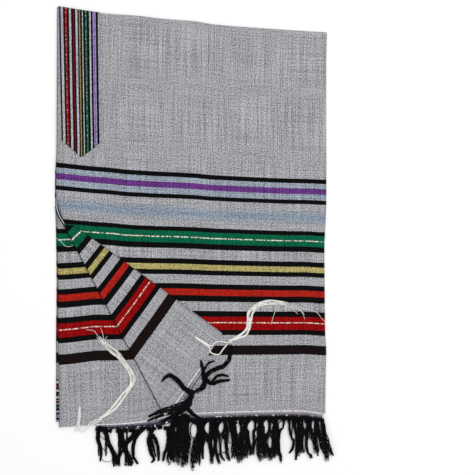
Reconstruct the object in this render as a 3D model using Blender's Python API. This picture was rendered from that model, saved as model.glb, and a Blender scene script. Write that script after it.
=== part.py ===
"""A hand-woven striped prayer shawl, folded in quarters and laid flat.

The shawl was folded end to end, which puts a fold at the top and the four fringed ends at the
bottom, and then across, with the far half underneath, which puts a fold at the right and the
neck edge at the left. The lower neck corner of the top layer is turned back over its own face.

X runs across from the neck edge to the fold, Y runs up from the fringe to the top fold, and the
surface that the shawl lies on is z = 0. Every size here is in millimetres, and a mesh is scaled
to metres when it is made.
"""
import math
import random
from collections import namedtuple

import bmesh
import bpy
from mathutils import Vector

MM = 0.001
TO_MIDDLE = Vector((1.35, -2.7, 0.0))  # puts the middle of the whole shawl over the origin

# The cloth and how its layers are stacked
CLOTH = 1.2  # thickness of one layer
CLEAR = 0.3  # between two pieces that touch
PATCH = 1.0  # thickness of a corner patch
HIDDEN_TOP = 2 * CLOTH + CLEAR  # the two bottom layers
UNDER_MIDDLE = HIDDEN_TOP + CLEAR + CLOTH / 2
FRONT_MIDDLE = UNDER_MIDDLE + CLOTH + CLEAR
RIGHT_ROUND = FRONT_MIDDLE - 0.5  # radius of the fold round all four layers
TOP_ROUND = 2.2  # radius of the fold of the top pair
RIGHT_TURN = math.radians(88)
TOP_TURN = math.radians(80)
TURN_STEPS = 4
FRONT_COLUMNS = 12
FRONT_ROWS = 18
UNDER_COLUMNS = 13
UNDER_ROWS = 19
HIDDEN_COLUMNS = 12

# The turned-back corner
CREASE_START = Vector((-291.5, 30.3))
CREASE_WAY = Vector((0.4666, -0.8845))
CREASE_OUT = Vector((-0.8845, -0.4666))
CREASE_ROUND = 3.5
CREASE_STEPS = 6
SETTLED = CLOTH + CLEAR + 0.1  # middle of the corner over the middle of the face it lies on
SETTLING = 60.0  # how far from the crease the corner comes down to that
SETTLING_STEPS = 4
EASE_ACROSS = 0.957  # the cloth's own give in the turned corner
EASE_ALONG = 1.018

# The neck band, the patches and the fringe
BAND_LIFT = CLOTH + CLEAR
PATCH_SIZE = 97.0
PATCH_SLOPE_END = 150.0
HEADING = 13.0  # the strip that each fringe hangs from
LEG_HALF = 2.2
LOCK_WIDTH = 3.0
LOCK_HEIGHT = 1.6
KNOT_LENGTH = 8.0

Guide = namedtuple("Guide", "along, place")

# The top layer's edges: across 0 at the neck edge and 1 at the fold, up 0 at the hem and 1 at the top
FRONT_LEFT = [
    Guide(0.00, -306.5), Guide(0.50, -308.5), Guide(0.56, -309.0), Guide(0.62, -309.0),
    Guide(0.67, -307.7), Guide(0.80, -307.2), Guide(1.00, -306.1),
]
FRONT_RIGHT = [
    Guide(0.00, 295.3), Guide(0.10, 296.4), Guide(0.16, 297.6), Guide(0.21, 295.3),
    Guide(0.31, 294.2), Guide(0.44, 293.5), Guide(0.48, 295.1), Guide(0.55, 297.6),
    Guide(0.90, 297.6), Guide(1.00, 299.1),
]
FRONT_TOP = [
    Guide(0.000, 521.2), Guide(0.155, 507.3), Guide(0.306, 500.3), Guide(0.381, 494.7),
    Guide(0.514, 488.1), Guide(0.585, 481.4), Guide(0.756, 473.1), Guide(1.000, 463.6),
]
FRONT_HEM = [
    Guide(0.00, -399.9), Guide(0.15, -399.5), Guide(0.30, -397.0), Guide(0.42, -392.5),
    Guide(0.50, -391.2), Guide(0.66, -387.6), Guide(0.92, -385.3), Guide(1.00, -391.2),
]
# The second layer's edges
UNDER_LEFT = [
    Guide(0.00, -301.8), Guide(0.13, -303.0), Guide(0.24, -305.4), Guide(0.35, -305.2),
    Guide(0.45, -306.4), Guide(1.00, -305.5),
]
UNDER_HEM = [
    Guide(0.000, -422.9), Guide(0.100, -418.6), Guide(0.150, -415.7), Guide(0.200, -415.2),
    Guide(0.265, -413.0), Guide(0.320, -408.7), Guide(0.395, -398.4), Guide(0.500, -395.4),
    Guide(0.660, -392.1), Guide(0.920, -389.8), Guide(1.000, -395.4),
]
# The two bottom layers' edges
HIDDEN_LEFT = [
    Guide(0.00, -309.9), Guide(0.12, -309.9), Guide(0.22, -309.7), Guide(0.32, -308.6),
    Guide(0.45, -309.7), Guide(0.53, -312.0), Guide(0.60, -312.0), Guide(0.66, -308.5),
    Guide(1.00, -307.0),
]
HIDDEN_HEM = [Guide(0.00, -412.0), Guide(0.15, -407.0), Guide(0.40, -397.5), Guide(1.00, -393.0)]

# The bottom pair, from the floor up: how far each side is drawn in at each height
Ring = namedtuple("Ring", "height, left, bottom, right, top")
HIDDEN_RINGS = [
    Ring(0.0, 0.6, 0.6, 0.8, 1.6),
    Ring(0.3, 0.0, 0.0, 0.3, 0.7),
    Ring(CLOTH - 0.1, 0.0, 0.0, 0.0, 0.1),
    Ring(CLOTH + 0.1, 3.0, 3.0, 0.0, 0.0),
    Ring(CLOTH + CLEAR - 0.1, 3.0, 3.0, 0.0, 0.0),
    Ring(CLOTH + CLEAR + 0.1, 0.6, 0.3, 0.0, 0.1),
    Ring(HIDDEN_TOP - 0.3, 0.6, 0.3, 0.2, 0.7),
    Ring(HIDDEN_TOP, 1.0, 0.8, 0.6, 1.6),
]

# The neck band's outline on the top layer: across and up, both as fractions
BAND_LEFT = [Guide(0.66, 0.018), Guide(1.00, 0.004)]
BAND_RIGHT = [Guide(0.66, 0.162), Guide(1.00, 0.156)]
BAND_POINT_UP = 0.640
BAND_LEFT_UP = 0.678
BAND_RIGHT_UP = 0.682

# A tassel is knotted from one or two legs. Its way runs from the knot to the tip.
Tassel = namedtuple("Tassel", "roots, locks, way")

# The top layer's fringe: where each knot and tip lies, left to right
Drop = namedtuple("Drop", "knot_x, half_legs, tip_x, tip_y")
FRONT_DROPS = [
    Drop(-36.0, 8.0, -46.0, -508.0),
    Drop(-1.0, 12.0, 0.0, -518.0), Drop(30.0, 13.0, 24.0, -500.0), Drop(62.0, 13.0, 57.0, -504.0),
    Drop(97.0, 14.0, 95.0, -500.0), Drop(130.0, 13.0, 128.0, -491.0), Drop(163.0, 13.0, 158.0, -497.0),
    Drop(195.0, 13.0, 194.0, -501.0), Drop(228.0, 13.0, 223.0, -489.0), Drop(258.0, 11.0, 266.0, -489.0),
    Drop(282.0, 6.0, 304.0, -493.0),
]
FRONT_KNOT_Y = -432.0
UNDER_DROPS = [
    Drop(-20.0, 0.0, -19.0, -495.0), Drop(13.0, 0.0, 12.0, -489.0), Drop(46.0, 0.0, 44.0, -497.0),
    Drop(80.0, 0.0, 79.0, -492.0), Drop(114.0, 0.0, 112.0, -486.0), Drop(146.0, 0.0, 144.0, -490.0),
    Drop(178.0, 0.0, 178.0, -493.0), Drop(211.0, 0.0, 209.0, -485.0), Drop(243.0, 0.0, 246.0, -489.0),
    Drop(270.0, 0.0, 280.0, -486.0),
]
HIDDEN_DROPS = [
    Drop(-205.0, 0.0, -202.0, -480.0), Drop(-186.0, 0.0, -174.0, -484.0), Drop(-157.0, 0.0, -152.0, -486.0),
    Drop(-97.0, 0.0, -92.0, -480.0), Drop(-64.0, 0.0, -62.0, -487.0), Drop(-38.0, 0.0, -39.0, -491.0),
    Drop(-12.0, 0.0, -10.0, -488.0), Drop(18.0, 0.0, 15.0, -484.0), Drop(50.0, 0.0, 46.0, -490.0),
    Drop(84.0, 0.0, 82.0, -486.0), Drop(117.0, 0.0, 114.0, -481.0), Drop(150.0, 0.0, 146.0, -484.0),
    Drop(181.0, 0.0, 180.0, -486.0), Drop(214.0, 0.0, 210.0, -480.0), Drop(246.0, 0.0, 249.0, -483.0),
    Drop(272.0, 0.0, 282.0, -480.0),
]
LOW_KNOT_Y = -424.0


def slope(guides, i):
    """How steeply a table's curve runs at one of its rows."""
    before, after = guides[max(i - 1, 0)], guides[min(i + 1, len(guides) - 1)]
    return (after.place - before.place) / (after.along - before.along)


def through(guides, along):
    """The place at one spot along the smooth curve through a table's rows."""
    i = 0
    while i < len(guides) - 2 and along > guides[i + 1].along:
        i += 1
    start, end = guides[i], guides[i + 1]
    span = end.along - start.along
    f = (along - start.along) / span
    return (
        (2 * f**3 - 3 * f**2 + 1) * start.place
        + (f**3 - 2 * f**2 + f) * span * slope(guides, i)
        + (3 * f**2 - 2 * f**3) * end.place
        + (f**3 - f**2) * span * slope(guides, i + 1)
    )


def faceted(guides, count, along):
    """The same curve as straight runs between even places, as a panel's own edges have them."""
    i = min(int(along * count + 1e-6), count - 1)
    start, end = through(guides, i / count), through(guides, (i + 1) / count)
    return start + (end - start) * (along * count - i)


def smooth(f):
    """0 to 1 with a soft start and a soft end."""
    f = min(max(f, 0.0), 1.0)
    return f * f * (3 - 2 * f)


def steps(count, end=1.0):
    """Evenly spaced values from 0 to the end."""
    return [end * i / count for i in range(count + 1)]


def cloth_material(name, colour, roughness=0.9):
    """A matt cloth material in one colour."""
    material = bpy.data.materials.new(name)
    material.use_nodes = True
    surface = material.node_tree.nodes["Principled BSDF"]
    surface.inputs["Base Color"].default_value = (*colour, 1.0)
    surface.inputs["Roughness"].default_value = roughness
    surface.inputs["Metallic"].default_value = 0.0
    material.diffuse_color = (*colour, 1.0)
    return material


def add_piece(name, bm, material):
    """Turn a mesh in millimetres into a named object in metres."""
    bmesh.ops.translate(bm, vec=TO_MIDDLE, verts=bm.verts)
    bmesh.ops.scale(bm, vec=(MM, MM, MM), verts=bm.verts)
    mesh = bpy.data.meshes.new(name)
    bm.to_mesh(mesh)
    bm.free()
    mesh.materials.append(material)
    piece = bpy.data.objects.new(name, mesh)
    bpy.context.collection.objects.link(piece)
    return piece


def add_wall(name, bm, material, thickness=CLOTH):
    """Give a middle surface its thickness, half to each side."""
    piece = add_piece(name, bm, material)
    wall = piece.modifiers.new("Wall", "SOLIDIFY")
    wall.thickness = thickness * MM
    wall.offset = 0.0
    wall.use_even_offset = True
    return piece


def grid(point, columns, rows):
    """A sheet of quads through point(column, row), facing up."""
    bm = bmesh.new()
    lines = [[bm.verts.new(point(c, r)) for c in columns] for r in rows]
    for low, high in zip(lines, lines[1:]):
        for i in range(len(columns) - 1):
            bm.faces.new((low[i], low[i + 1], high[i + 1], high[i]))
    return bm


# A column or row: how far along the flat stretch, and the turn round the fold after it
Place = namedtuple("Place", "flat, turn")


def places(count, turn=0.0, start=0.0):
    """Even places along a flat stretch, then steps round its fold."""
    flat = [Place(start + (1 - start) * f, 0.0) for f in steps(count)]
    if not turn:
        return flat
    return flat + [Place(1.0, a) for a in steps(TURN_STEPS, turn)[1:]]


def front_point(column, row, lift=0.0):
    """A point of the top layer's middle surface, before its corner is turned back."""
    left = faceted(FRONT_LEFT, FRONT_ROWS, row.flat)
    right = faceted(FRONT_RIGHT, FRONT_ROWS, row.flat)
    hem = faceted(FRONT_HEM, FRONT_COLUMNS, column.flat)
    top = faceted(FRONT_TOP, FRONT_COLUMNS, column.flat)
    x = left + (right - RIGHT_ROUND - left) * column.flat
    x += (RIGHT_ROUND + lift) * math.sin(column.turn)
    y = hem + (top - TOP_ROUND - hem) * row.flat
    y += (TOP_ROUND + lift) * math.sin(row.turn)
    right_drop = (RIGHT_ROUND + lift) * (1 - math.cos(column.turn))
    top_drop = (TOP_ROUND + lift) * (1 - math.cos(row.turn))
    drop = (right_drop**4 + top_drop**4) ** 0.25
    return Vector((x, y, FRONT_MIDDLE + lift - drop))


def past_crease(point):
    """How far a point lies past the line where the cloth leaves the face beneath."""
    return (point.xy - CREASE_START).dot(CREASE_OUT) + CREASE_ROUND


def turn_back(point):
    """Fold a point of the top layer over the crease, if it lies past it."""
    past = past_crease(point)
    if past <= 0:
        return point
    along = (point.xy - CREASE_START).dot(CREASE_WAY) * EASE_ALONG
    turned = min(past / CREASE_ROUND, math.pi)
    rest = max(past - math.pi * CREASE_ROUND, 0.0)
    out = CREASE_ROUND * (math.sin(turned) - 1) - rest * EASE_ACROSS
    blend = smooth(past / (math.pi * CREASE_ROUND))
    along = along * blend + (along / EASE_ALONG) * (1 - blend)
    flat = CREASE_START + CREASE_WAY * along + CREASE_OUT * out
    high = CREASE_ROUND * (1 - math.cos(turned))
    high -= (2 * CREASE_ROUND - SETTLED) * smooth(rest / SETTLING)
    return Vector((*flat, point.z + high))


def make_front_panel(material):
    """The top layer, rounded over the two folds, with its neck corner turned back."""
    bm = grid(front_point, places(FRONT_COLUMNS, RIGHT_TURN), places(FRONT_ROWS, TOP_TURN))
    roll = math.pi * CREASE_ROUND
    cuts = steps(CREASE_STEPS, roll)
    cuts += [roll + s for s in steps(SETTLING_STEPS, SETTLING)[1:]]
    for cut in cuts:
        line = CREASE_START + CREASE_OUT * (cut - CREASE_ROUND)
        everything = bm.verts[:] + bm.edges[:] + bm.faces[:]
        bmesh.ops.bisect_plane(
            bm, geom=everything, plane_co=(*line, 0), plane_no=(*CREASE_OUT, 0), dist=1e-4
        )
    bmesh.ops.triangulate(bm, faces=bm.faces[:])
    for vert in bm.verts:
        vert.co = turn_back(vert.co)
    return add_wall("front_panel", bm, material)


def under_point(column, row):
    """A point of the second layer, which rises over the patch beneath its corner."""
    left = faceted(UNDER_LEFT, UNDER_ROWS, row.flat)
    right = through(FRONT_RIGHT, row.flat) - RIGHT_ROUND
    hem = faceted(UNDER_HEM, UNDER_COLUMNS, column.flat)
    top = through(FRONT_TOP, column.flat) - TOP_ROUND - CLEAR
    x = left + (right - left) * column.flat
    y = hem + (top - hem) * row.flat
    from_corner = max(x - through(UNDER_LEFT, 0.0), y - through(UNDER_HEM, 0.0))
    beyond = (from_corner - PATCH_SIZE - 5.0) / (PATCH_SLOPE_END - PATCH_SIZE)
    return Vector((x, y, UNDER_MIDDLE + (PATCH + CLEAR) * (1 - smooth(beyond))))


def make_under_panel(material):
    """The second layer, which shows below the turned-back corner."""
    return add_wall("under_panel", grid(under_point, places(UNDER_COLUMNS), places(UNDER_ROWS)), material)


def hidden_ring(ring):
    """One level of the bottom pair's outline, anticlockwise from the lower left."""
    def corner(across, up):
        left, right = through(HIDDEN_LEFT, up), through(FRONT_RIGHT, up) - 1.7
        hem, top = through(HIDDEN_HEM, across), through(FRONT_TOP, across) - 0.6
        left, right = left + ring.left, right - ring.right
        hem, top = hem + ring.bottom, top - ring.top
        return Vector((left + (right - left) * across, hem + (top - hem) * up, ring.height))

    bottom = [(f, 0.0) for f in steps(HIDDEN_COLUMNS)]
    right_side = [(1.0, f) for f in steps(12)[1:-1]] + [(1.0, 0.99)]
    top_side = [(0.985, 1.0)] + [(f, 1.0) for f in reversed(steps(10)[1:-1])]
    left_side = [(0.0, f) for f in reversed(steps(14)[1:])]
    return [corner(*place) for place in bottom + right_side + top_side + left_side]


def make_hidden_layers(material):
    """The two bottom layers as one solid, flat below, with a groove between their edges."""
    bm = bmesh.new()
    rings = [[bm.verts.new(point) for point in hidden_ring(ring)] for ring in HIDDEN_RINGS]
    for low, high in zip(rings, rings[1:]):
        bridge(bm, low, high)
    bm.faces.new(reversed(rings[0]))
    bm.faces.new(rings[-1])
    return add_piece("hidden_layers", bm, material)


def make_neck_band(material):
    """The decorative band at the neck, on the top layer's points and over the top fold."""
    def band_point(column, row):
        left, right = through(BAND_LEFT, row.flat), through(BAND_RIGHT, row.flat)
        across = left + (right - left) * column.flat
        low = BAND_LEFT_UP + (BAND_RIGHT_UP - BAND_LEFT_UP) * column.flat
        low += (BAND_POINT_UP - low) * (1 - abs(2 * column.flat - 1))
        up = low + (1 - low) * row.flat
        return front_point(Place(across, 0.0), Place(up, row.turn), BAND_LIFT)

    return add_wall("neck_band", grid(band_point, places(4), places(8, TOP_TURN)), material)


def make_corner_patch(material):
    """The patch on the third layer, whose edge shows past the second layer's."""
    def patch_point(column, row):
        left = through(HIDDEN_LEFT, 0.0) + 0.8
        hem = through(HIDDEN_HEM, 0.0) + 0.8
        x = left + PATCH_SIZE * column.flat
        y = hem + PATCH_SIZE * row.flat + 5.0 * column.flat * (1 - row.flat)
        return Vector((x, y, HIDDEN_TOP + CLEAR + PATCH / 2))

    return add_wall("corner_patch", grid(patch_point, places(2), places(2)), material, PATCH)


def bridge(bm, low, high):
    """Quads between two rings with the same number of points."""
    for i in range(len(low)):
        j = (i + 1) % len(low)
        bm.faces.new((low[i], low[j], high[j], high[i]))


def section(bm, centre, side, up, width, height):
    """Four corners round a centre, as a ring of a strand."""
    across, rise = side * (width / 2), up * (height / 2)
    corners = (-across - rise, across - rise, across + rise, rise - across)
    return [bm.verts.new(centre + corner) for corner in corners]


def smooth_way(points, runs=2):
    """A smooth curve through a few given points, in a few straight runs from each to the next."""
    points = [Vector(p) for p in points]
    ends = [2 * points[0] - points[1]] + points + [2 * points[-1] - points[-2]]
    curve = []
    for a, b, c, d in zip(ends, ends[1:], ends[2:], ends[3:]):
        for f in steps(runs)[:-1]:
            curve.append(
                0.5 * (2 * b + (c - a) * f + (2 * a - 5 * b + 4 * c - d) * f**2
                       + (3 * b - a - 3 * c + d) * f**3)
            )
    return curve + [points[-1]]


def frames(way, side):
    """The direction, side and up at each point of a way, turned as little as possible."""
    result = []
    sense = 1 if (way[1] - way[0]).cross(side).z >= 0 else -1
    for i in range(len(way)):
        ahead = (way[min(i + 1, len(way) - 1)] - way[max(i - 1, 0)]).normalized()
        side = (side - ahead * side.dot(ahead)).normalized()
        result.append((ahead, side, ahead.cross(side) * sense))
    return result


def grow_strand(bm, ring, way, side, width, height, taper=0.55):
    """Extend a ring of four points along a way, thinner towards the tip, and close it."""
    for i, (point, (_, across, up)) in enumerate(zip(way, frames(way, side))):
        if i == 0:
            continue
        thin = 1 - (1 - taper) * (i / (len(way) - 1)) ** 2
        new = section(bm, point, across, up, width * thin, height * thin)
        bridge(bm, ring, new)
        ring = new
    bm.faces.new(ring)


def knot_columns(bm, centre, side, up, width, height, locks):
    """A low row and a high row of points across a knot."""
    low, high = [], []
    for f in steps(locks):
        place = centre + side * (width * (f - 0.5))
        low.append(bm.verts.new(place - up * (height / 2)))
        high.append(bm.verts.new(place + up * (height / 2)))
    return low, high


def column_quad(columns, i):
    """The four points of one lock's root between two columns."""
    low, high = columns
    return [low[i], low[i + 1], high[i + 1], high[i]]


def make_knot(bm, start, ahead, side, up, locks, size):
    """A knot of three levels, whose two end faces stay open for its legs and locks."""
    width, height = size
    levels = []
    for along, wide, tall in ((0.0, 0.85, 0.8), (0.5, 1.1, 1.0), (1.0, 0.95, 0.75)):
        centre = start + ahead * (KNOT_LENGTH * along)
        levels.append(knot_columns(bm, centre, side, up, width * wide, height * tall, locks))
    for first, second in zip(levels, levels[1:]):
        bridge(bm, first[0] + first[1][::-1], second[0] + second[1][::-1])
    return levels[0], levels[-1]


def add_tassel(bm, roots, tassel, side, chance, knot_height):
    """Legs from the heading strip to a knot, and the locks that hang from it."""
    way = [Vector(p) for p in tassel.way]
    ahead = (way[1] - way[0]).normalized()
    _, side, up = frames(way, side)[0]
    locks = tassel.locks
    size = (LOCK_WIDTH * locks, knot_height)
    top, end = make_knot(bm, way[0], ahead, side, up, locks, size)
    legs = [0, locks - 1] if len(roots) == 2 else [(locks - 1) // 2]
    for i in range(locks):
        if i not in legs:
            bm.faces.new(column_quad(top, i))
    for root, i in zip(roots, legs):
        target = column_quad(top, i)
        middle = [bm.verts.new(a.co.lerp(b.co, 0.5)) for a, b in zip(root, target)]
        bridge(bm, root, middle)
        bridge(bm, middle, target)
    way[0] = way[0] + ahead * KNOT_LENGTH
    for i in range(locks):
        shift = i - (locks - 1) / 2
        reach = 1 - 0.06 * chance.random()
        lane = smooth_way(way)
        lane = lane[:-1] + [lane[-2].lerp(lane[-1], reach)]
        spread = [
            point + across * shift * (LOCK_WIDTH * 0.95 + 0.9 * k / (len(lane) - 1))
            for k, (point, (_, across, _)) in enumerate(zip(lane, frames(lane, side)))
        ]
        grow_strand(bm, column_quad(end, i), spread, side, LOCK_WIDTH * 0.85, LOCK_HEIGHT)


def hem_bends(ends, start, end, count, spans):
    """Where the cloth's straight hem runs meet, between the strip's ends and clear of its legs."""
    places_along = [start + (end - start) * f for f in steps(count)]
    inside = [x for x in places_along if ends[0] + 1 < x < ends[1] - 1]
    return [x for x in inside if all(not low - 0.5 < x < high + 0.5 for low, high in spans)]


def make_fringe(name, material, edge, hem, ends, tassels, knot_height, seed=1):
    """A heading strip along the cloth's edge, with every tassel that hangs from it.

    edge(along, out) gives the strip's middle, and a tassel's roots are places along it.
    hem is the x of the cloth's two ends and the number of straight runs between them.
    """
    bm = bmesh.new()
    chance = random.Random(seed)
    spans = sorted((root - LEG_HALF, root + LEG_HALF) for t in tassels for root in t.roots)
    stations = sorted(list(ends) + [x for span in spans for x in span] + hem_bends(ends, *hem, spans))
    starts = [low for low, _ in spans]
    rise = Vector((0, 0, CLOTH / 2))
    rows = []
    for along in stations:
        inner, outer = edge(along, CLEAR), edge(along, HEADING)
        rows.append([bm.verts.new(p) for p in (inner - rise, outer - rise, outer + rise, inner + rise)])
    bm.faces.new(rows[0])
    bm.faces.new(rows[-1][::-1])
    legs = {}
    for i, (a, b) in enumerate(zip(rows, rows[1:])):
        bm.faces.new((a[0], b[0], b[1], a[1]))
        bm.faces.new((a[2], b[2], b[3], a[3]))
        bm.faces.new((a[3], b[3], b[0], a[0]))
        if stations[i] in starts:
            legs[round(stations[i] + LEG_HALF, 3)] = [a[1], b[1], b[2], a[2]]
        else:
            bm.faces.new((a[1], b[1], b[2], a[2]))
    for tassel in tassels:
        roots = [legs[round(root, 3)] for root in tassel.roots]
        side = roots[-1][1].co - roots[0][0].co
        side.z = 0
        add_tassel(bm, roots, tassel, side, chance, knot_height)
    bmesh.ops.recalc_face_normals(bm, faces=bm.faces[:])
    return add_piece(name, bm, material)


def front_edge(along, out):
    """The top layer's heading: along is an x, out is a distance below the hem."""
    across = (along - FRONT_LEFT[0].place) / (FRONT_RIGHT[0].place - RIGHT_ROUND - FRONT_LEFT[0].place)
    return Vector((along, faceted(FRONT_HEM, FRONT_COLUMNS, across) - out, FRONT_MIDDLE))


def turned_edge(along, out):
    """The same heading where the corner is turned back."""
    return turn_back(front_edge(along, out))


def under_edge(along, out):
    """The second layer's heading."""
    across = (along - UNDER_LEFT[0].place) / (FRONT_RIGHT[0].place - RIGHT_ROUND - UNDER_LEFT[0].place)
    return Vector((along, faceted(UNDER_HEM, UNDER_COLUMNS, across) - out, UNDER_MIDDLE))


def hidden_edge(along, out):
    """The bottom pair's heading."""
    across = (along - HIDDEN_LEFT[0].place) / (FRONT_RIGHT[0].place - HIDDEN_LEFT[0].place)
    return Vector((along, faceted(HIDDEN_HEM, HIDDEN_COLUMNS, across) - out, HIDDEN_TOP / 2))


def hanging(drop, locks, knot_y, height):
    """A tassel that hangs nearly straight from a knot."""
    roots = (drop.knot_x - drop.half_legs, drop.knot_x + drop.half_legs)
    roots = roots if drop.half_legs else (drop.knot_x,)
    middle = (drop.knot_x * 0.55 + drop.tip_x * 0.45, (knot_y + drop.tip_y) / 2, height)
    way = ((drop.knot_x, knot_y, height), middle, (drop.tip_x, drop.tip_y, height))
    return Tassel(roots, locks, way)


FRONT_LOW = FRONT_MIDDLE + 0.9
UNDER_LOW = UNDER_MIDDLE
HIDDEN_LOW = HIDDEN_TOP / 2

# The second layer's tassels that show at the left, where they hang unevenly
UNDER_SHOWN = [
    Tassel((-215.0, -206.0), 2, ((-212, -447, 4.6), (-209, -470, 4.0), (-209, -499, 3.6))),
    Tassel((-199.0, -190.0), 3, ((-194, -446, 4.6), (-183, -478, 4.0), (-172, -509, 3.6))),
    Tassel((-167.0, -139.0), 4, ((-158, -463, 4.6), (-155, -482, 4.0), (-149, -508, 3.6))),
    Tassel((-128.0,), 3, ((-133, -446, 4.6), (-135, -475, 4.0), (-127, -503, 3.6))),
    Tassel((-103.0, -92.0), 4, ((-98, -444, 4.6), (-96, -470, 4.0), (-87, -499, 3.6))),
    Tassel((-70.0, -57.0), 4, ((-64, -441, 4.0), (-66, -470, 3.8), (-65, -504, 3.6))),
]

# The turned corner's tassels, as they fell
TURNED_TASSELS = [
    Tassel((-209.0,), 2, ((30, -298, 8.8), (28, -285, 9.2), (19, -268, 9.4))),
    Tassel((-195.0,), 2, ((22, -311, 7.6), (46, -295, 7.4), (66, -288, 7.4), (78, -275, 7.4),
                          (82, -260, 7.4), (80, -244, 7.4))),
    Tassel((-182.0,), 3, ((16, -322, 7.6), (40, -327, 7.4), (60, -317, 7.4), (80, -310, 7.4))),
    Tassel((-168.0,), 2, ((10, -337, 7.6), (23, -345, 7.4), (28, -358, 7.2))),
    Tassel((-150.0,), 3, ((-5, -350, 8.4), (6, -357.5, 9.4), (8, -359, 12), (5, -357, 14.2),
                          (-2, -352, 13.8), (-16, -338, 11.4), (-30, -325, 9.8), (-50, -308, 10),
                          (-61, -309, 10.8), (-70, -319, 11.8))),
    Tassel((-121.0,), 3, ((-14, -380, 8.6), (-18, -420, 8.6), (-24, -460, 8.0), (-27, -507, 7.4))),
    Tassel((-104.0,), 3, ((-31, -388, 9.4), (-29, -400, 9.2), (-36, -410, 8.8), (-54, -414, 8.0),
                          (-78, -413, 7.4), (-102, -412, 7.2))),
]


def make_all_fringes(material):
    """The four fringes, each hung from its own heading strip."""
    front = [hanging(d, 4, FRONT_KNOT_Y, FRONT_LOW) for d in FRONT_DROPS]
    right = FRONT_RIGHT[0].place - RIGHT_ROUND
    front_hem = (FRONT_LEFT[0].place, right, FRONT_COLUMNS)
    under_hem = (UNDER_LEFT[0].place, right, UNDER_COLUMNS)
    hidden_hem = (HIDDEN_LEFT[0].place, FRONT_RIGHT[0].place, HIDDEN_COLUMNS)
    make_fringe("fringe_front", material, front_edge, front_hem, (-48.0, 290.5), front, 2.6, seed=1)
    under = [hanging(d, 3, LOW_KNOT_Y, UNDER_LOW) for d in UNDER_DROPS]
    shown = UNDER_SHOWN + under
    make_fringe("fringe_under", material, under_edge, under_hem, (-221.0, 286.0), shown, 1.6, seed=2)
    hidden = [hanging(d, 3, LOW_KNOT_Y - 4.0, HIDDEN_LOW) for d in HIDDEN_DROPS]
    make_fringe("fringe_hidden", material, hidden_edge, hidden_hem, (-215.0, 288.0), hidden, 1.6, seed=3)
    corner = (-212.0, -92.0)
    make_fringe("fringe_turned", material, turned_edge, front_hem, corner, TURNED_TASSELS, 2.4, seed=4)


# Each corner's ritual fringe: where its knot and its strands lie
LEFT_WAY = [
    (-200, -397.5, 7.3), (-177, -378, 6.6), (-158, -352, 6.2), (-142, -331, 6.2), (-137.5, -313, 6.2),
    (-144, -295, 6.2), (-163, -270, 6.2), (-181, -251, 6.2), (-202, -233, 6.2), (-216, -219, 6.2),
]
LEFT_THREAD = [
    (-207, -402, 7.4), (-232, -413, 7.4), (-242, -428, 5.6), (-249, -433, 5.0), (-258, -429, 5.4),
    (-262, -418, 7.4), (-259, -396, 7.2), (-255.5, -377, 7.0),
]
RIGHT_WAY = [
    (88, -227, 9.6), (113, -215, 8.0), (123, -201, 7.4), (126, -184, 7.4), (129, -166, 7.4),
    (140, -152, 7.4), (156, -144, 7.4), (178, -142, 7.4), (202, -145, 7.4), (222, -153, 7.4),
    (243, -164, 7.4),
]
RIGHT_THREAD = [
    (81, -229, 9.6), (73, -232, 9.6), (60, -230, 9.6), (40, -240, 9.2), (20, -229, 8.8),
    (3, -220, 8.6),
]
STRANDS = 6
STRAND = 1.7


def make_corner_thread(name, material, way, thread):
    """One corner's ritual fringe: a thread to its eyelet, a knot and the loose strands."""
    bm = bmesh.new()
    points = [Vector(p) for p in way]
    ahead = (points[1] - points[0]).normalized()
    side = Vector((0, 0, 1)).cross(ahead).normalized()
    up = ahead.cross(side)
    size = (STRANDS * STRAND, 2.4)
    top, end = make_knot(bm, points[0], ahead, side, up, STRANDS, size)
    middle = STRANDS // 2
    for i in range(STRANDS):
        if i != middle:
            bm.faces.new(column_quad(top, i))
    back = [points[0] - ahead * 1.0] + [Vector(p) for p in thread[1:]]
    grow_strand(bm, column_quad(top, middle), smooth_way(back), side, 2.0, 1.8, 0.9)
    points[0] = points[0] + ahead * KNOT_LENGTH
    for i in range(STRANDS):
        shift = i - (STRANDS - 1) / 2
        lane = smooth_way(points)
        lane = lane[: len(lane) - (i * 2) % 3]
        spread = [
            point + across * shift * (STRAND + 0.5)
            for point, (_, across, _) in zip(lane, frames(lane, side))
        ]
        grow_strand(bm, column_quad(end, i), spread, side, STRAND, STRAND, 0.7)
    bmesh.ops.recalc_face_normals(bm, faces=bm.faces[:])
    return add_piece(name, bm, material)


def main():
    for thing in list(bpy.data.objects):
        bpy.data.objects.remove(thing, do_unlink=True)
    grey = cloth_material("grey_cloth", (0.36, 0.36, 0.37))
    reverse = cloth_material("grey_reverse", (0.34, 0.34, 0.35))
    striped = cloth_material("striped_band", (0.25, 0.05, 0.06))
    black = cloth_material("black_yarn", (0.006, 0.006, 0.008))
    white = cloth_material("white_yarn", (0.72, 0.70, 0.62))
    make_front_panel(grey)
    make_under_panel(reverse)
    make_hidden_layers(grey)
    make_neck_band(striped)
    make_corner_patch(striped)
    make_all_fringes(black)
    make_corner_thread("tzitzit_under", white, LEFT_WAY, LEFT_THREAD)
    make_corner_thread("tzitzit_turned", white, RIGHT_WAY, RIGHT_THREAD)


main()
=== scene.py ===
# %% [markdown]
# A hand-woven prayer shawl lies folded in quarters on a white surface, with one corner turned back.
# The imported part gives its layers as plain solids. This script keeps their places and dresses them:
# thin cloth with woven stripes, a neck band, black knotted fringe and off-white corner threads.

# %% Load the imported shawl
import math
import random
from collections import namedtuple

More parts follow.
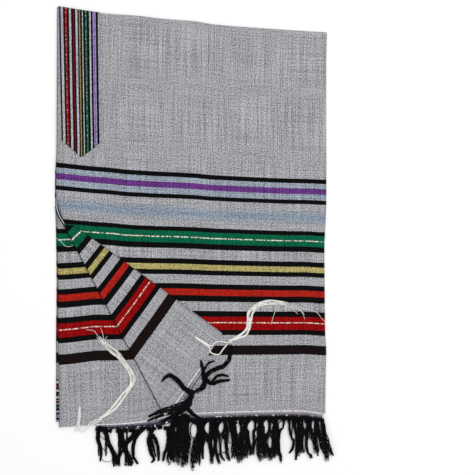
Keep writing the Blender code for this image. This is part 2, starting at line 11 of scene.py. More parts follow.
import bmesh
import bpy
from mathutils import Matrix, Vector


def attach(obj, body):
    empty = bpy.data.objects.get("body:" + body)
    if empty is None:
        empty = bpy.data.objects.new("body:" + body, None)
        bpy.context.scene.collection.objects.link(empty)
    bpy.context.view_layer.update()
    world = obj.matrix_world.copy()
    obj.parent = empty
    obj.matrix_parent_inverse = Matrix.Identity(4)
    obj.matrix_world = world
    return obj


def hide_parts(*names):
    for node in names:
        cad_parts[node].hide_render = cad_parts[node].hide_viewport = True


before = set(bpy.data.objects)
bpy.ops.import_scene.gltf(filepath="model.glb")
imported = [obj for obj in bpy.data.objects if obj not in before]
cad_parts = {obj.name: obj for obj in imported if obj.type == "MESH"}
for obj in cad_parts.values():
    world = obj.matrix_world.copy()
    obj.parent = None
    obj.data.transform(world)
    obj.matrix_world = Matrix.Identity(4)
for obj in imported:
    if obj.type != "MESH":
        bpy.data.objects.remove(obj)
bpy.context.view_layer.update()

bpy.ops.object.select_all(action="DESELECT")
print("Packed nodes:", sorted(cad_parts))

# %% [markdown]
# The shawl is laid out in millimetres, in a plan of its own: x from the neck edge to the fold and
# y from the fringe to the top fold. A spot on the photograph becomes a place on that plan, because
# the camera looks straight down. The plan is moved to the middle only when a mesh is finished.

# %% Units and the plan
MM = 0.001
PIXEL = 2.25  # millimetres of the plan that one pixel of the photograph shows
PHOTO_SIZE = 475  # pixels along each side of the photograph
PHOTO_MIDDLE = (193.75, 238.75)  # where the plan's origin lies on the photograph
TO_MIDDLE = Vector((1.35, -2.7, 0.0))  # from the plan to the part's own frame
CLOTH = 1.0  # thickness of the woven cloth
HIDDEN_HIGH, HIDDEN_LOW = 2.1, 0.6  # middles of the two bottom layers
UNDER_MIDDLE = 3.6
FRONT_MIDDLE = 5.1
PATCH_MIDDLE = 3.5
RIGHT_ROUND = 4.6  # radius of the fold round all four layers
TOP_ROUND = 2.2  # radius of the fold of the top pair


def spot(px, py, height=0.0):
    """A place on the photograph as a place on the plan."""
    return Vector(((px - PHOTO_MIDDLE[0]) * PIXEL, (PHOTO_MIDDLE[1] - py) * PIXEL, height))


def spots(rows):
    """Several places on the photograph as places on the plan."""
    return [spot(*row) for row in rows]


def level(height, *rows):
    """Places on the photograph at one height."""
    return [(*row, height) for row in rows]


def steps(count, end=1.0):
    """Evenly spaced values from 0 to the end."""
    return [end * i / count for i in range(count + 1)]


def smooth(f):
    """0 to 1 with a soft start and a soft end."""
    f = min(max(f, 0.0), 1.0)
    return f * f * (3 - 2 * f)


print("The photograph shows", round(PHOTO_SIZE * PIXEL), "mm across")

# %% [markdown]
# Hand-folded cloth has no straight edge. Each edge is a short table of places along it, and a smooth
# curve runs through them. The layers share the fold at the right and the fold at the top.

# %% The edges of each layer
Guide = namedtuple("Guide", "along, place")


def edge(*rows):
    """A table of places along an edge."""
    return [Guide(*row) for row in rows]


FRONT_LEFT = edge(
    (0, -306.5), (0.4, -308.3), (0.445, -306.5), (0.47, -294.5), (0.495, -297), (0.53, -307),
    (0.56, -309.6), (0.62, -309), (0.67, -307.7), (0.8, -307.2), (1, -306.1),
)
FRONT_RIGHT = edge(
    (0, 295.3), (0.1, 296.4), (0.16, 297.6), (0.21, 295.3), (0.31, 294.2), (0.44, 293.5), (0.48, 295.1),
    (0.55, 297.6), (0.9, 297.6), (1, 299.1),
)
FRONT_TOP = edge(
    (0, 521.2), (0.155, 507.3), (0.306, 500.3), (0.381, 494.7), (0.514, 488.1), (0.585, 481.4),
    (0.756, 473.1), (1, 463.6),
)
FRONT_HEM = edge(
    (0, -399.9), (0.15, -399.5), (0.3, -397), (0.42, -392.5), (0.5, -391.2), (0.66, -387.6), (0.92, -385.3),
    (1, -391.2),
)
UNDER_LEFT = edge(
    (0, -301.8), (0.13, -303), (0.24, -305.4), (0.35, -305.2), (0.45, -306.4), (1, -305.5),
)
UNDER_HEM = edge(
    (0, -422.9), (0.1, -418.6), (0.15, -415.7), (0.2, -415.2), (0.265, -413), (0.32, -408.7),
    (0.395, -398.4), (0.5, -395.4), (0.66, -392.1), (0.92, -389.8), (1, -395.4),
)
HIDDEN_LEFT = edge(
    (0, -309.9), (0.12, -309.9), (0.22, -309.7), (0.32, -308.6), (0.45, -309.7), (0.53, -312), (0.6, -312),
    (0.66, -308.5), (1, -307),
)
HIDDEN_HEM = edge((0, -412), (0.15, -407), (0.4, -397.5), (1, -393))


def slope(guides, i):
    """How steeply a table's curve runs at one of its rows."""
    before, after = guides[max(i - 1, 0)], guides[min(i + 1, len(guides) - 1)]
    return (after.place - before.place) / (after.along - before.along)


def through(guides, along):
    """The place at one spot along the smooth curve through a table's rows."""
    i = 0
    while i < len(guides) - 2 and along > guides[i + 1].along:
        i += 1
    start, end = guides[i], guides[i + 1]
    span = end.along - start.along
    f = (along - start.along) / span
    return (
        (2 * f**3 - 3 * f**2 + 1) * start.place
        + (f**3 - 2 * f**2 + f) * span * slope(guides, i)
        + (3 * f**2 - 2 * f**3) * end.place
        + (f**3 - f**2) * span * slope(guides, i + 1)
    )


print("Top fold at the neck and at the right:", FRONT_TOP[0].place, FRONT_TOP[-1].place)

# %% [markdown]
# Even pressed cloth keeps a few soft creases where it was folded before, and small ripples where the
# hem pulls it in. They are low ridges, so a layer never dips into the one below.

# %% Soft creases in the cloth
Crease = namedtuple("Crease", "start, end, width, rise")
CREASES = [Crease(*row) for row in (
    ((-180, 470), (-150, 120), 26, 0.5), ((10, 500), (-6, -60), 30, 0.6),
    ((170, 470), (188, -40), 34, 0.5), ((-120, 300), (250, 262), 28, 0.45),
    ((-40, 40), (290, 62), 24, 0.4), ((60, -150), (280, -240), 26, 0.5),
    ((-60, -60), (120, -330), 30, 0.45), ((-300, -330), (-150, -300), 18, 0.35),
    ((-250, -120), (-205, -400), 22, 0.35),
)]
RIPPLE = 24.0  # from one hem ripple to the next
RIPPLE_RISE = 0.28
RIPPLE_FADE = 110.0  # how far above the hem they die away


def relief(x, y, hem):
    """How far the cloth rises above its flat place."""
    rise = 0.35 + 0.2 * math.sin(x / 61 + 1.3 * math.sin(y / 97)) + 0.15 * math.sin(y / 73 + x / 140)
    for crease in CREASES:
        start, end = Vector(crease.start), Vector(crease.end)
        way = end - start
        f = min(max((Vector((x, y)) - start).dot(way) / way.length_squared, 0.0), 1.0)
        sway = crease.width * 0.3 * math.sin(f * 9 + start.x)
        aside = (Vector((x, y)) - start - way * f).length + sway * (1 - abs(2 * f - 1))
        fade = smooth(min(f, 1 - f) * 4 + 0.15)
        rise += crease.rise * fade * math.exp(-((aside / crease.width) ** 2))
    near_hem = math.exp(-max(y - hem, 0.0) / RIPPLE_FADE)
    return rise + RIPPLE_RISE * near_hem * (1 + math.sin(2 * math.pi * (x / RIPPLE + 0.3 * math.sin(x / 37))))


print("Highest ridge about", round(max(relief(x, 0, -390) for x in range(-300, 300, 10)), 2), "mm")

# %% [markdown]
# Every layer is a grid of quads. A grid point knows two things: its place on the plan, and its place
# in the flat cloth, which is kept as the UV map. Stripes are drawn in the flat cloth, so they turn
# with the corner when it is folded over, as real woven stripes do.

# %% A grid that remembers the flat cloth
Place = namedtuple("Place", "flat, turn")


def places(count, turn=0.0, turn_steps=6):
    """Even places along a flat stretch, then steps round its fold."""
    flat = [Place(f, 0.0) for f in steps(count)]
    return flat + ([Place(1.0, a) for a in steps(turn_steps, turn)[1:]] if turn else [])


def woven_grid(point, cloth, columns, rows):
    """Quads through point(column, row), each point with its place in the flat cloth."""
    bm = bmesh.new()
    flat = bm.verts.layers.float_vector.new("flat")
    lines = []
    for r in rows:
        lines.append([bm.verts.new(point(c, r)) for c in columns])
        for vert, c in zip(lines[-1], columns):
            vert[flat] = Vector((*cloth(c, r), 0.0))
    for low, high in zip(lines, lines[1:]):
        for i in range(len(columns) - 1):
            bm.faces.new((low[i], low[i + 1], high[i + 1], high[i]))
    return bm


def dress(name, bm, materials, *replaced):
    """Turn a mesh on the plan into a finished piece in metres, which rides on the part."""
    bmesh.ops.translate(bm, vec=TO_MIDDLE, verts=bm.verts)
    bmesh.ops.scale(bm, vec=(MM, MM, MM), verts=bm.verts)
    mesh = bpy.data.meshes.new(name)
    bm.to_mesh(mesh)
    bm.free()
    for material in materials:
        mesh.materials.append(material)
    piece = bpy.data.objects.new(name, mesh)
    bpy.context.collection.objects.link(piece)
    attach(piece, "root")
    if replaced:
        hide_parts(*replaced)
    print(name, len(mesh.polygons), "faces")
    return piece


def dress_sheet(name, bm, materials, *replaced, thickness=CLOTH):
    """The same for a grid of cloth, which also gets its UV map and its thickness."""
    flat = bm.verts.layers.float_vector["flat"]
    uv = bm.loops.layers.uv.new("flat_cloth")
    for face in bm.faces:
        for loop in face.loops:
            loop[uv].uv = loop.vert[flat].xy
    piece = dress(name, bm, materials, *replaced)
    wall = piece.modifiers.new("Wall", "SOLIDIFY")
    wall.thickness = thickness * MM
    wall.offset = 0.0
    wall.use_even_offset = True
    bpy.ops.object.select_all(action="DESELECT")
    bpy.context.view_layer.objects.active = piece
    piece.select_set(True)
    bpy.ops.object.modifier_apply(modifier="Wall")
    bpy.ops.object.shade_smooth_by_angle(angle=math.radians(50))
    piece.select_set(False)
    return piece


print("Steps round a full fold:", len(places(1, math.pi)) - 2)

# %% [markdown]
# A material is a small graph of nodes. One class keeps such a graph short to write: it adds a sum, a
# noise stretched along the cloth, or a mix of two colours. Colours are written as they look on
# screen, from 0 to 255, and turned into the linear values that Blender's shaders use.

# %% Helpers for materials
def linear(r, g, b):
    """A screen colour as a shader colour."""
    return [((c / 255 + 0.055) / 1.055) ** 2.4 if c > 10 else c / 255 / 12.92 for c in (r, g, b)] + [1.0]


BLACK = linear(8, 8, 9)


class Graph:
    """A material's nodes. u and v are a point's place across and up the flat cloth, in metres."""

    def __init__(self, name, roughness, sheen=0.03):
        self.material = bpy.data.materials.new(name)
        self.material.use_nodes = True
        self.tree = self.material.node_tree
        self.surface = self.tree.nodes["Principled BSDF"].inputs
        for part, value in (("Roughness", roughness), ("Sheen Weight", sheen), ("Specular IOR Level", 0.06)):
            self.surface[part].default_value = value
        where = self.node("UVMap", uv_map="flat_cloth")
        self.u, self.v = self.node("SeparateXYZ", where.outputs[0]).outputs[:2]

    def feed(self, socket, value):
        """Link a socket into another, or set its value."""
        if isinstance(value, bpy.types.NodeSocket):
            self.tree.links.new(value, socket)
        else:
            socket.default_value = value

    def node(self, kind, *values, **settings):
        """A node with its settings, and with its first sockets fed."""
        node = self.tree.nodes.new("ShaderNode" + kind)
        for setting, value in settings.items():
            setattr(node, setting, value)
        for socket, value in zip(node.inputs, values):
            self.feed(socket, value)
        return node

    def calc(self, operation, *values, clamp=False):
        """One sum on numbers."""
        return self.node("Math", *values, operation=operation, use_clamp=clamp).outputs[0]

    def scale(self, value, by, add=0.0, clamp=False):
        """A value times one number, plus another."""
        return self.calc("MULTIPLY_ADD", value, by, add, clamp=clamp)

    def mix(self, factor, first, second, how="MIX"):
        """Two colours mixed."""
        node = self.node("Mix", factor, data_type="RGBA", blend_type=how)
        self.feed(node.inputs[6], first)
        self.feed(node.inputs[7], second)
        return node.outputs[2]

    def darken(self, colour, where, strength):
        """A colour turned towards black at some places."""
        return self.mix(self.scale(where, strength), colour, BLACK)

    def shade(self, colour, number):
        """A colour made lighter or darker by a number."""
        return self.mix(1.0, colour, self.node("CombineColor", number, number, number).outputs[0], "MULTIPLY")

    def noise(self, u, v, across, along, detail=2.0):
        """Noise on the flat cloth, with so many cells a metre each way."""
        place = self.node("CombineXYZ", self.scale(u, across), self.scale(v, along))
        node = self.node("TexNoise", place.outputs[0])
        node.inputs["Scale"].default_value = 1.0
        node.inputs["Detail"].default_value = detail
        return node.outputs["Fac"]

    def ramp(self, value, stops, how="CONSTANT"):
        """A colour for each stretch of a value. stops are (start, colour)."""
        node = self.node("ValToRGB", value)
        elements = node.color_ramp.elements
        node.color_ramp.interpolation = how
        while len(elements) < len(stops):
            elements.new(0.5)
        for element, (start, colour) in zip(elements, stops):
            element.position, element.color = start, colour
        return node.outputs[0]

    def within(self, value, middle, half, soft):
        """1 near a middle value, falling to 0 past half of a width."""
        away = self.calc("ABSOLUTE", self.calc("SUBTRACT", value, middle))
        return self.calc("DIVIDE", self.calc("SUBTRACT", half + soft / 2, away), soft, clamp=True)

    def finish(self, colour, height, distance, strength):
        """The material, once its surface has its colour and its relief."""
        bump = self.node("Bump")
        for part, value in (("Strength", strength), ("Distance", distance), ("Height", height)):
            self.feed(bump.inputs[part], value)
        self.feed(self.surface["Normal"], bump.outputs[0])
        self.feed(self.surface["Base Color"], colour)
        print(self.material.name, len(self.tree.nodes), "nodes")
        return self.material


print("A screen grey of 128 is", round(linear(128, 128, 128)[0], 3), "in a shader")

# %% [markdown]
# The cloth is a plain weave of light and dark yarns, which reads as a speckled grey. Thick and thin
# yarns run as faint streaks both ways, stronger up the cloth. Bands of coloured weft cross it near
# each end: brown, red, orange, yellow and green with black edges, a cloudy blue, and a purple. The
# red and the green each carry one metallic yarn that dives in and out of the weave; its glitter is
# painted into its colour as bright highlights. A colour ramp keeps only 256 steps, so the bands are
# split over two ramps to stay crisp.

# %% Colours and stripes of the cloth
GREY = linear(157, 157, 161)
BROWN = linear(21, 12, 12)
RED = linear(138, 5, 7)
ORANGE = linear(162, 30, 21)
YELLOW = linear(166, 156, 98)
GREEN = linear(4, 92, 62)
LILAC_GREY = linear(142, 151, 163)
PURPLE = linear(96, 50, 120)
BLUE = linear(118, 137, 156)
TABLE_HEIGHT = 0.857  # metres from the hem stitches to the top fold
LOW_STRIPES = [
    (120, GREY), (125, BROWN), (146.3, GREY), (169, BLACK), (180.2, RED), (209.6, BLACK), (221.8, GREY),
    (242, BLACK), (254.5, ORANGE), (268.6, BLACK), (280, GREY), (299.4, BLACK), (310.5, YELLOW),
    (322.2, BLACK), (333.8, GREY),
]
HIGH_STRIPES = [
    (345, GREY), (356.2, BLACK), (368.6, GREEN), (393.7, BLACK), (403.5, GREY), (464.9, BLACK),
    (474.3, LILAC_GREY), (486.8, PURPLE), (499.8, LILAC_GREY), (511.8, BLACK), (521.6, GREY),
]
LOW_ENDS, HIGH_ENDS = (120, 345), (345, 530)
METALLIC_LINES = (0.1965, 0.3815)
BLUE_BAND = (0.4345, 0.0105, 0.016)  # its middle, its half width and how softly it fades
PATCH_SIZE = (0.095, 0.097)
YARN = 0.0011  # from one yarn to the next
# Each rib of the selvedge is its place, its half width and its darkness
SELVEDGE_RIBS = ((0.0012, 0.0006, 0.75), (0.0048, 0.0004, 0.35), (0.0095, 0.0003, 0.25))
# Colours of the metallic yarns: their own gold and silver, with painted glints up to bright white
PAINTED_GLINTS = [
    (0.0, linear(96, 66, 44)), (0.38, linear(170, 136, 104)), (0.48, linear(252, 250, 246)),
    (0.60, linear(226, 208, 176)), (0.70, linear(120, 88, 60)),
]
BAND_STITCHES, PATCH_STITCHES = 1500, 2400  # how fast the stitches follow one another, in radians a metre
print("Stripes:", len(LOW_STRIPES) + len(HIGH_STRIPES), "and", len(METALLIC_LINES), "metallic yarns")

# %% Stripes, uneven yarns and painted glints as nodes
def bands(graph, place, stripes, ends):
    """A ramp over one stretch of the cloth. place is in metres, the rest in millimetres."""
    start, end = ends
    along = graph.calc("DIVIDE", graph.calc("SUBTRACT", place, start * MM), (end - start) * MM)
    return graph.ramp(along, [((at - start) / (end - start), colour) for at, colour in stripes])


def show_yarns(graph, colour, u, v):
    """Speckle and streak a colour as uneven yarn does. Gives the colour and the height of the weave."""
    parts = [
        (graph.noise(u, v, 430, 390, 3.0), 4.2), (graph.noise(u, v, 400, 7, 3.0), 1.7),
        (graph.noise(u, v, 8, 400), 1.0), (graph.noise(u, v, 60, 9, 1.0), 0.05),
    ]
    total = 1.0 - sum(weight for _, weight in parts) / 2
    for part, weight in parts:
        total = graph.scale(part, weight, total)
    shade = graph.calc("MAXIMUM", total, 0.25)
    weave = graph.scale(*[graph.calc("SINE", graph.scale(way, math.pi / YARN)) for way in (u, v)])
    return graph.shade(colour, graph.scale(weave, 0.22, shade)), graph.scale(shade, 0.9, weave)


def metallic_yarn(graph, u, place, middle, half, gaps):
    """Where a metallic yarn shows: a fine line, broken every few millimetres."""
    sway = graph.scale(graph.noise(u, 0.0, 70, 1), 0.0022, middle - 0.0011)
    line = graph.within(graph.calc("SUBTRACT", place, sway), 0.0, half, half * 0.6)
    return graph.scale(line, graph.scale(graph.noise(u, middle, 210, 1, 3.0), 8.0, -gaps, clamp=True))


def lay_metallic(graph, colour, u, v, place, middles, half, gaps, share, roughness):
    """Two metallic yarns over the cloth, in silver, gold and rose, with painted glints in their colour."""
    glint = graph.calc("MAXIMUM", *[metallic_yarn(graph, u, place, middle, half, gaps) for middle in middles])
    glint = graph.scale(glint, share)
    dull, polish = roughness
    graph.feed(graph.surface["Roughness"], graph.scale(glint, -polish, dull))
    # The yarn's colour runs through painted glints, from dark gold to white
    return graph.mix(glint, colour, graph.ramp(graph.noise(u, v, 300, 60), PAINTED_GLINTS, "LINEAR"))


print("A yarn's width:", round(YARN / MM, 2), "mm")

# %% The woven cloth
def make_woven_cloth():
    """The striped cloth."""
    graph = Graph("woven_cloth", 0.9)
    u, v = graph.u, graph.v
    place = graph.scale(graph.noise(u, v, 300, 40, 3.0), 0.0016, graph.calc("SUBTRACT", v, 0.0008))
    low, high = bands(graph, place, LOW_STRIPES, LOW_ENDS), bands(graph, place, HIGH_STRIPES, HIGH_ENDS)
    colour = graph.mix(graph.calc("GREATER_THAN", place, LOW_ENDS[1] * MM), low, high)
    patchy = graph.scale(graph.noise(u, v, 240, 190, 3.0), 3.4, -0.95, clamp=True)
    colour = graph.mix(graph.scale(graph.within(place, *BLUE_BAND), patchy), colour, BLUE)
    colour, height = show_yarns(graph, colour, u, v)
    for rib, half, dark in SELVEDGE_RIBS:
        colour = graph.darken(colour, graph.within(u, rib, half, 0.0006), dark)
    for across, up, reach, limit in ((u, v, *PATCH_SIZE), (v, u, *PATCH_SIZE[::-1])):
        line = graph.scale(graph.within(across, reach, 0.0004, 0.0006), graph.calc("LESS_THAN", up, limit))
        dashes = graph.calc("GREATER_THAN", graph.calc("SINE", graph.scale(up, PATCH_STITCHES)), -0.2)
        colour = graph.darken(colour, graph.scale(line, dashes), 0.6)
    # Painted shade: the colour darkens along the crease's roll, where its shadow falls
    colour = graph.darken(colour, graph.node("Attribute", attribute_name="crease").outputs["Fac"], 0.85)
    # The metallic yarns: their own gold and silver, with painted glints
    colour = lay_metallic(
        graph, colour, u, v, place, METALLIC_LINES, half=0.0011, gaps=3.1, share=1.0, roughness=(0.9, 0.45))
    return graph.finish(colour, height, distance=0.0003, strength=0.5)


woven_cloth = make_woven_cloth()

# %% [markdown]
# The top layer is rounded over the right fold and the top fold. Its lower corner at the neck edge
# is then folded back over a slanting crease. A plane cuts the grid into narrow strips along the
# crease, so that the roll stays round, and one function moves each point past the crease over it.
# Real cloth slips a little as it is folded, so the corner's stripes are moved along by a few
# millimetres. Each point also keeps a number for the material, which paints shade along the roll
# where the crease's shadow falls.

# %% The top layer before its corner is turned
CLOTH_WIDE = 0.602
LEFT_CLIMB = 0.0088  # the stripes climb towards the neck edge, in parts of the cloth's height
NECK_RISE = 0.0033  # and lie a little higher close to it
FOLD_RISE = 0.0046  # as they do at the right fold


def near_folds(column, row):
    """1 over most of a layer, falling to 0 where it meets the two folds."""
    return smooth((1 - column.flat) * 12) * smooth((1 - row.flat) * 14)


def front_point(column, row, lift=0.0):
    """A point of the top layer's middle surface, before its corner is turned back."""
    left, right = through(FRONT_LEFT, row.flat), through(FRONT_RIGHT, row.flat)
    hem, top = through(FRONT_HEM, column.flat), through(FRONT_TOP, column.flat)
    x = left + (right - RIGHT_ROUND - left) * column.flat
    y = hem + (top - TOP_ROUND - hem) * row.flat
    flat = not (column.turn or row.turn)
    rise = (relief(x, y, hem) * near_folds(column, row) if flat else 0.0) + lift
    x += (RIGHT_ROUND + rise) * math.sin(column.turn)
    y += (TOP_ROUND + rise) * math.sin(row.turn)
    right_drop = (RIGHT_ROUND + rise) * (1 - math.cos(column.turn))
    top_drop = (TOP_ROUND + rise) * (1 - math.cos(row.turn))
    return Vector((x, y, FRONT_MIDDLE + rise - (right_drop**4 + top_drop**4) ** 0.25))


def front_cloth(column, row):
    """The same point in the flat cloth, in metres."""
    u = CLOTH_WIDE * column.flat + RIGHT_ROUND * MM * column.turn
    up = row.flat - LEFT_CLIMB * (1 - column.flat) * smooth(row.flat / 0.45)
    v = TABLE_HEIGHT * up + TOP_ROUND * MM * row.turn
    v -= NECK_RISE * (1 - smooth((column.flat - 0.17) / 0.12)) * smooth(row.flat / 0.3)
    return u, v - FOLD_RISE * max(column.flat - 0.8, 0.0) ** 2 / 0.04


print("Middle of the top layer:", front_point(Place(0.5, 0.0), Place(0.5, 0.0)))

# %% The corner turned back over the crease
CREASE_START = Vector((-291.5, 30.3))
CREASE_WAY = Vector((0.4666, -0.8845))
CREASE_OUT = Vector((-0.8845, -0.4666))
CREASE_ROUND = 2.6
SETTLED = 1.6  # middle of the corner over the middle of the face it lies on
SETTLING = 60.0  # how far from the crease the corner comes down to that
EASE_ACROSS = 0.957
EASE_ALONG = 1.018
SLIP_FROM = 136.0  # how far up the cloth the slip begins to grow
SLIP_TURN = 205.0  # and how much further it grows


def turn_back(point):
    """Fold a point of the top layer over the crease, if it lies past it."""
    past = (point.xy - CREASE_START).dot(CREASE_OUT) + CREASE_ROUND
    if past <= 0:
        return point
    roll = math.pi * CREASE_ROUND
    along = (point.xy - CREASE_START).dot(CREASE_WAY)
    along *= 1 + (EASE_ALONG - 1) * smooth(past / roll)
    turned, rest = min(past / CREASE_ROUND, math.pi), max(past - roll, 0.0)
    out = CREASE_ROUND * (math.sin(turned) - 1) - rest * EASE_ACROSS
    flat = CREASE_START + CREASE_WAY * along + CREASE_OUT * out
    high = CREASE_ROUND * (1 - math.cos(turned)) - (2 * CREASE_ROUND - SETTLED) * smooth(rest / SETTLING)
    return Vector((*flat, point.z + high))


def slip(point, flat):
    """How far the corner's cloth slipped along as it was folded, in metres of its stripes."""
    past = (point.xy - CREASE_START).dot(CREASE_OUT)
    along = (point.xy - CREASE_START).dot(CREASE_WAY)
    fade = 1 - smooth(-past / min(max(0.4 * along, 3.0), 25.0))
    above = max(flat.y / MM - SLIP_FROM, 0.0)
    moved = 0.12 * min(above, SLIP_TURN) - 0.2 * max(above - SLIP_TURN, 0.0)
    moved += max(past, 0.0) * (0.0756 + 0.00062 * above)
    return moved * fade * min(max(flat.y / MM / SLIP_FROM, 0.0), 1.0) * MM


def make_front_cloth():
    """The top layer in one sheet."""
    columns = places(116, math.radians(88))
    bm = woven_grid(front_point, front_cloth, columns, places(172, math.radians(80)))
    roll = math.pi * CREASE_ROUND
    for cut in steps(9, roll) + [roll + s for s in steps(8, SETTLING)[1:]]:
        line = CREASE_START + CREASE_OUT * (cut - CREASE_ROUND)
        bmesh.ops.bisect_plane(
            bm, geom=bm.verts[:] + bm.edges[:] + bm.faces[:], plane_co=(*line, 0),
            plane_no=(*CREASE_OUT, 0), dist=1e-4,
        )
    flat = bm.verts.layers.float_vector["flat"]
    crease = bm.verts.layers.float.new("crease")
    for vert in bm.verts:
        vert[flat] = vert[flat] + Vector((0.0, slip(vert.co, vert[flat]), 0.0))
        # Painted shade along the roll: 1 on its outer side, where the crease's shadow falls, fading to 0
        turned = ((vert.co.xy - CREASE_START).dot(CREASE_OUT) + CREASE_ROUND) / CREASE_ROUND
        vert[crease] = 1 - smooth((abs(turned - 2.1) - 0.5) / 0.5)
        vert.co = turn_back(vert.co)
    return dress_sheet("front_cloth", bm, [woven_cloth], "front_panel")


front = make_front_cloth()

# %% [markdown]
# The second layer shows at the lower left, with its reverse side up. A patch between it and the
# layer below lifts its corner a little. The two bottom layers are one stretch of cloth, folded
# at the top, and show as slivers at the left and from below.

# %% The layers beneath
UNDER_SHIFT, UNDER_STRETCH = 0.0043, 0.9864
UNDER_CLIMB = 0.0055  # metres that its stripes climb from the neck edge
UNDER_RISE = 0.0034  # and that the lowest ones lie higher than the rest
BOTTOM_ROUND = (HIDDEN_HIGH - HIDDEN_LOW) / 2
HIDDEN_MIDDLE = (HIDDEN_HIGH + HIDDEN_LOW) / 2
PATCH_LIFT, PATCH_REACH, PATCH_FADE = 1.3, 102.0, 53.0
HIDDEN_INSET = 1.9  # how far inside the right fold the bottom pair ends


def over_patch(from_corner):
    """How far the patch below lifts the second layer, at a distance from its corner."""
    return PATCH_LIFT * (1 - smooth((from_corner - PATCH_REACH) / PATCH_FADE))


def under_point(column, row):
    """A point of the second layer."""
    left, right = through(UNDER_LEFT, row.flat), through(FRONT_RIGHT, row.flat) - RIGHT_ROUND
    hem, top = through(UNDER_HEM, column.flat), through(FRONT_TOP, column.flat) - TOP_ROUND - 0.5
    x = left + (right - left) * column.flat
    y = hem + (top - hem) * row.flat
    height = UNDER_MIDDLE + over_patch(max(x - UNDER_LEFT[0].place, y - UNDER_HEM[0].place))
    return Vector((x, y, height + relief(x, y, hem) * near_folds(column, row)))


def under_cloth(column, row):
    """The same point in the flat cloth."""
    v = TABLE_HEIGHT * (UNDER_SHIFT + UNDER_STRETCH * row.flat)
    v -= UNDER_RISE * (1 - smooth((row.flat - 0.15) / 0.25)) + UNDER_CLIMB * smooth(column.flat / 0.15)
    return CLOTH_WIDE * column.flat, v


def hidden_point(column, row):
    """A point of the two bottom layers: up the third, round its top fold and down the fourth."""
    inset = 0.6 * (1 + math.cos(row.turn)) / 2
    left, right = through(HIDDEN_LEFT, row.flat) + inset, through(FRONT_RIGHT, row.flat) - HIDDEN_INSET
    hem = through(HIDDEN_HEM, column.flat) + inset / 2
    top = through(FRONT_TOP, column.flat) - 1.6 - BOTTOM_ROUND
    y = hem + (top - hem) * row.flat + BOTTOM_ROUND * math.sin(row.turn)
    height = HIDDEN_MIDDLE + BOTTOM_ROUND * math.cos(row.turn)
    return Vector((left + (right - left) * column.flat, y, height))


def hidden_cloth(column, row):
    """The same point in the flat cloth."""
    up = row.flat + 0.0045 * (1 - row.flat / 0.6)
    return CLOTH_WIDE * column.flat, TABLE_HEIGHT * up


under = dress_sheet(
    "under_cloth", woven_grid(under_point, under_cloth, places(100), places(150)),
    [woven_cloth], "under_panel",
)
there_and_back = places(80, math.pi, 8)
there_and_back += [Place(f, math.pi) for f in reversed(steps(80)[:-1])]
hidden = dress_sheet(
    "hidden_cloth", woven_grid(hidden_point, hidden_cloth, places(50), there_and_back),
    [woven_cloth], "hidden_layers", thickness=1.1,
)

# %% [markdown]
# The neck band and the corner patches are cut from a narrower striped cloth. Each stripe runs the
# length of the band, so its colour depends on the way across alone. The band is sewn on round its
# edge with small dark stitches, and ends in a point.

# %% The neck band and the corner patch
BAND_WIDE, BAND_LONG = 0.091, 0.34
BAND_PALE = linear(172, 170, 181)
BAND_RED = linear(124, 14, 20)
BAND_LILAC = linear(150, 136, 176)
BAND_STRIPES = [
    (0, GREY), (0.8, BLACK), (4.6, BAND_PALE), (9.6, BLACK), (13.3, BAND_RED), (18.9, BLACK),
    (22.8, BAND_PALE), (27.6, BLACK), (31.0, linear(104, 11, 17)), (33.8, BLACK), (37.2, BAND_PALE),
    (41.6, BLACK), (45.0, linear(142, 128, 82)), (47.6, BLACK), (51.7, BAND_PALE), (53.8, BLACK),
    (58.3, GREEN), (62.8, BLACK), (67.6, BAND_PALE), (71.2, BLACK), (75.6, BAND_LILAC),
    (77.6, linear(116, 86, 158)), (79.8, BAND_LILAC), (82.4, BLACK), (87.3, BAND_PALE),
]
BAND_METALLIC = (0.0158, 0.0602)
BAND_SEAM = 0.0899
BAND_LEFT = edge((0.66, 0.0178), (1, 0.0045))
BAND_RIGHT = edge((0.66, 0.1672), (1, 0.1578))
BAND_POINT_UP, BAND_LEFT_UP, BAND_RIGHT_UP = 0.640, 0.678, 0.682
BAND_LIFT = 1.45
PATCH_WIDE = 97


def make_band_cloth():
    """Narrow stripes across, for the band and the patches."""
    graph = Graph("band_cloth", 0.85)
    u, v = graph.u, graph.v
    place = graph.scale(graph.noise(u, v, 60, 260, 3.0), 0.0010, graph.calc("SUBTRACT", u, 0.0005))
    colour = bands(graph, place, BAND_STRIPES, (0, BAND_WIDE / MM))
    colour, height = show_yarns(graph, colour, v, u)
    # The band's metallic yarns, with painted glints as on the woven cloth
    colour = lay_metallic(
        graph, colour, v, u, place, BAND_METALLIC, half=0.0007, gaps=4.0, share=0.8, roughness=(0.85, 0.4))
    dots = graph.calc("GREATER_THAN", graph.calc("SINE", graph.scale(v, BAND_STITCHES)), 0.1)
    seam = graph.scale(graph.within(u, BAND_SEAM, 0.0005, 0.0006), dots)
    return graph.finish(graph.darken(colour, seam, 0.85), height, distance=0.0003, strength=0.5)


def band_point(column, row):
    """A point of the neck band, on the top layer's own points."""
    low = BAND_LEFT_UP + (BAND_RIGHT_UP - BAND_LEFT_UP) * column.flat
    low += (BAND_POINT_UP - low) * (1 - abs(2 * column.flat - 1))
    up = low + (1 - low) * row.flat
    left, right = through(BAND_LEFT, up), through(BAND_RIGHT, up)
    return front_point(Place(left + (right - left) * column.flat, 0.0), Place(up, row.turn), BAND_LIFT)


def band_cloth_place(column, row):
    """The same point in the band's flat cloth."""
    return BAND_WIDE * column.flat, BAND_LONG * row.flat + 0.002 * row.turn


def patch_point(column, row):
    """A point of the patch on the third layer."""
    left, hem = HIDDEN_LEFT[0].place + 0.8, HIDDEN_HEM[0].place + 0.8
    y = hem + PATCH_WIDE * row.flat + 5 * column.flat * (1 - row.flat)
    return Vector((left + PATCH_WIDE * column.flat, y, PATCH_MIDDLE))


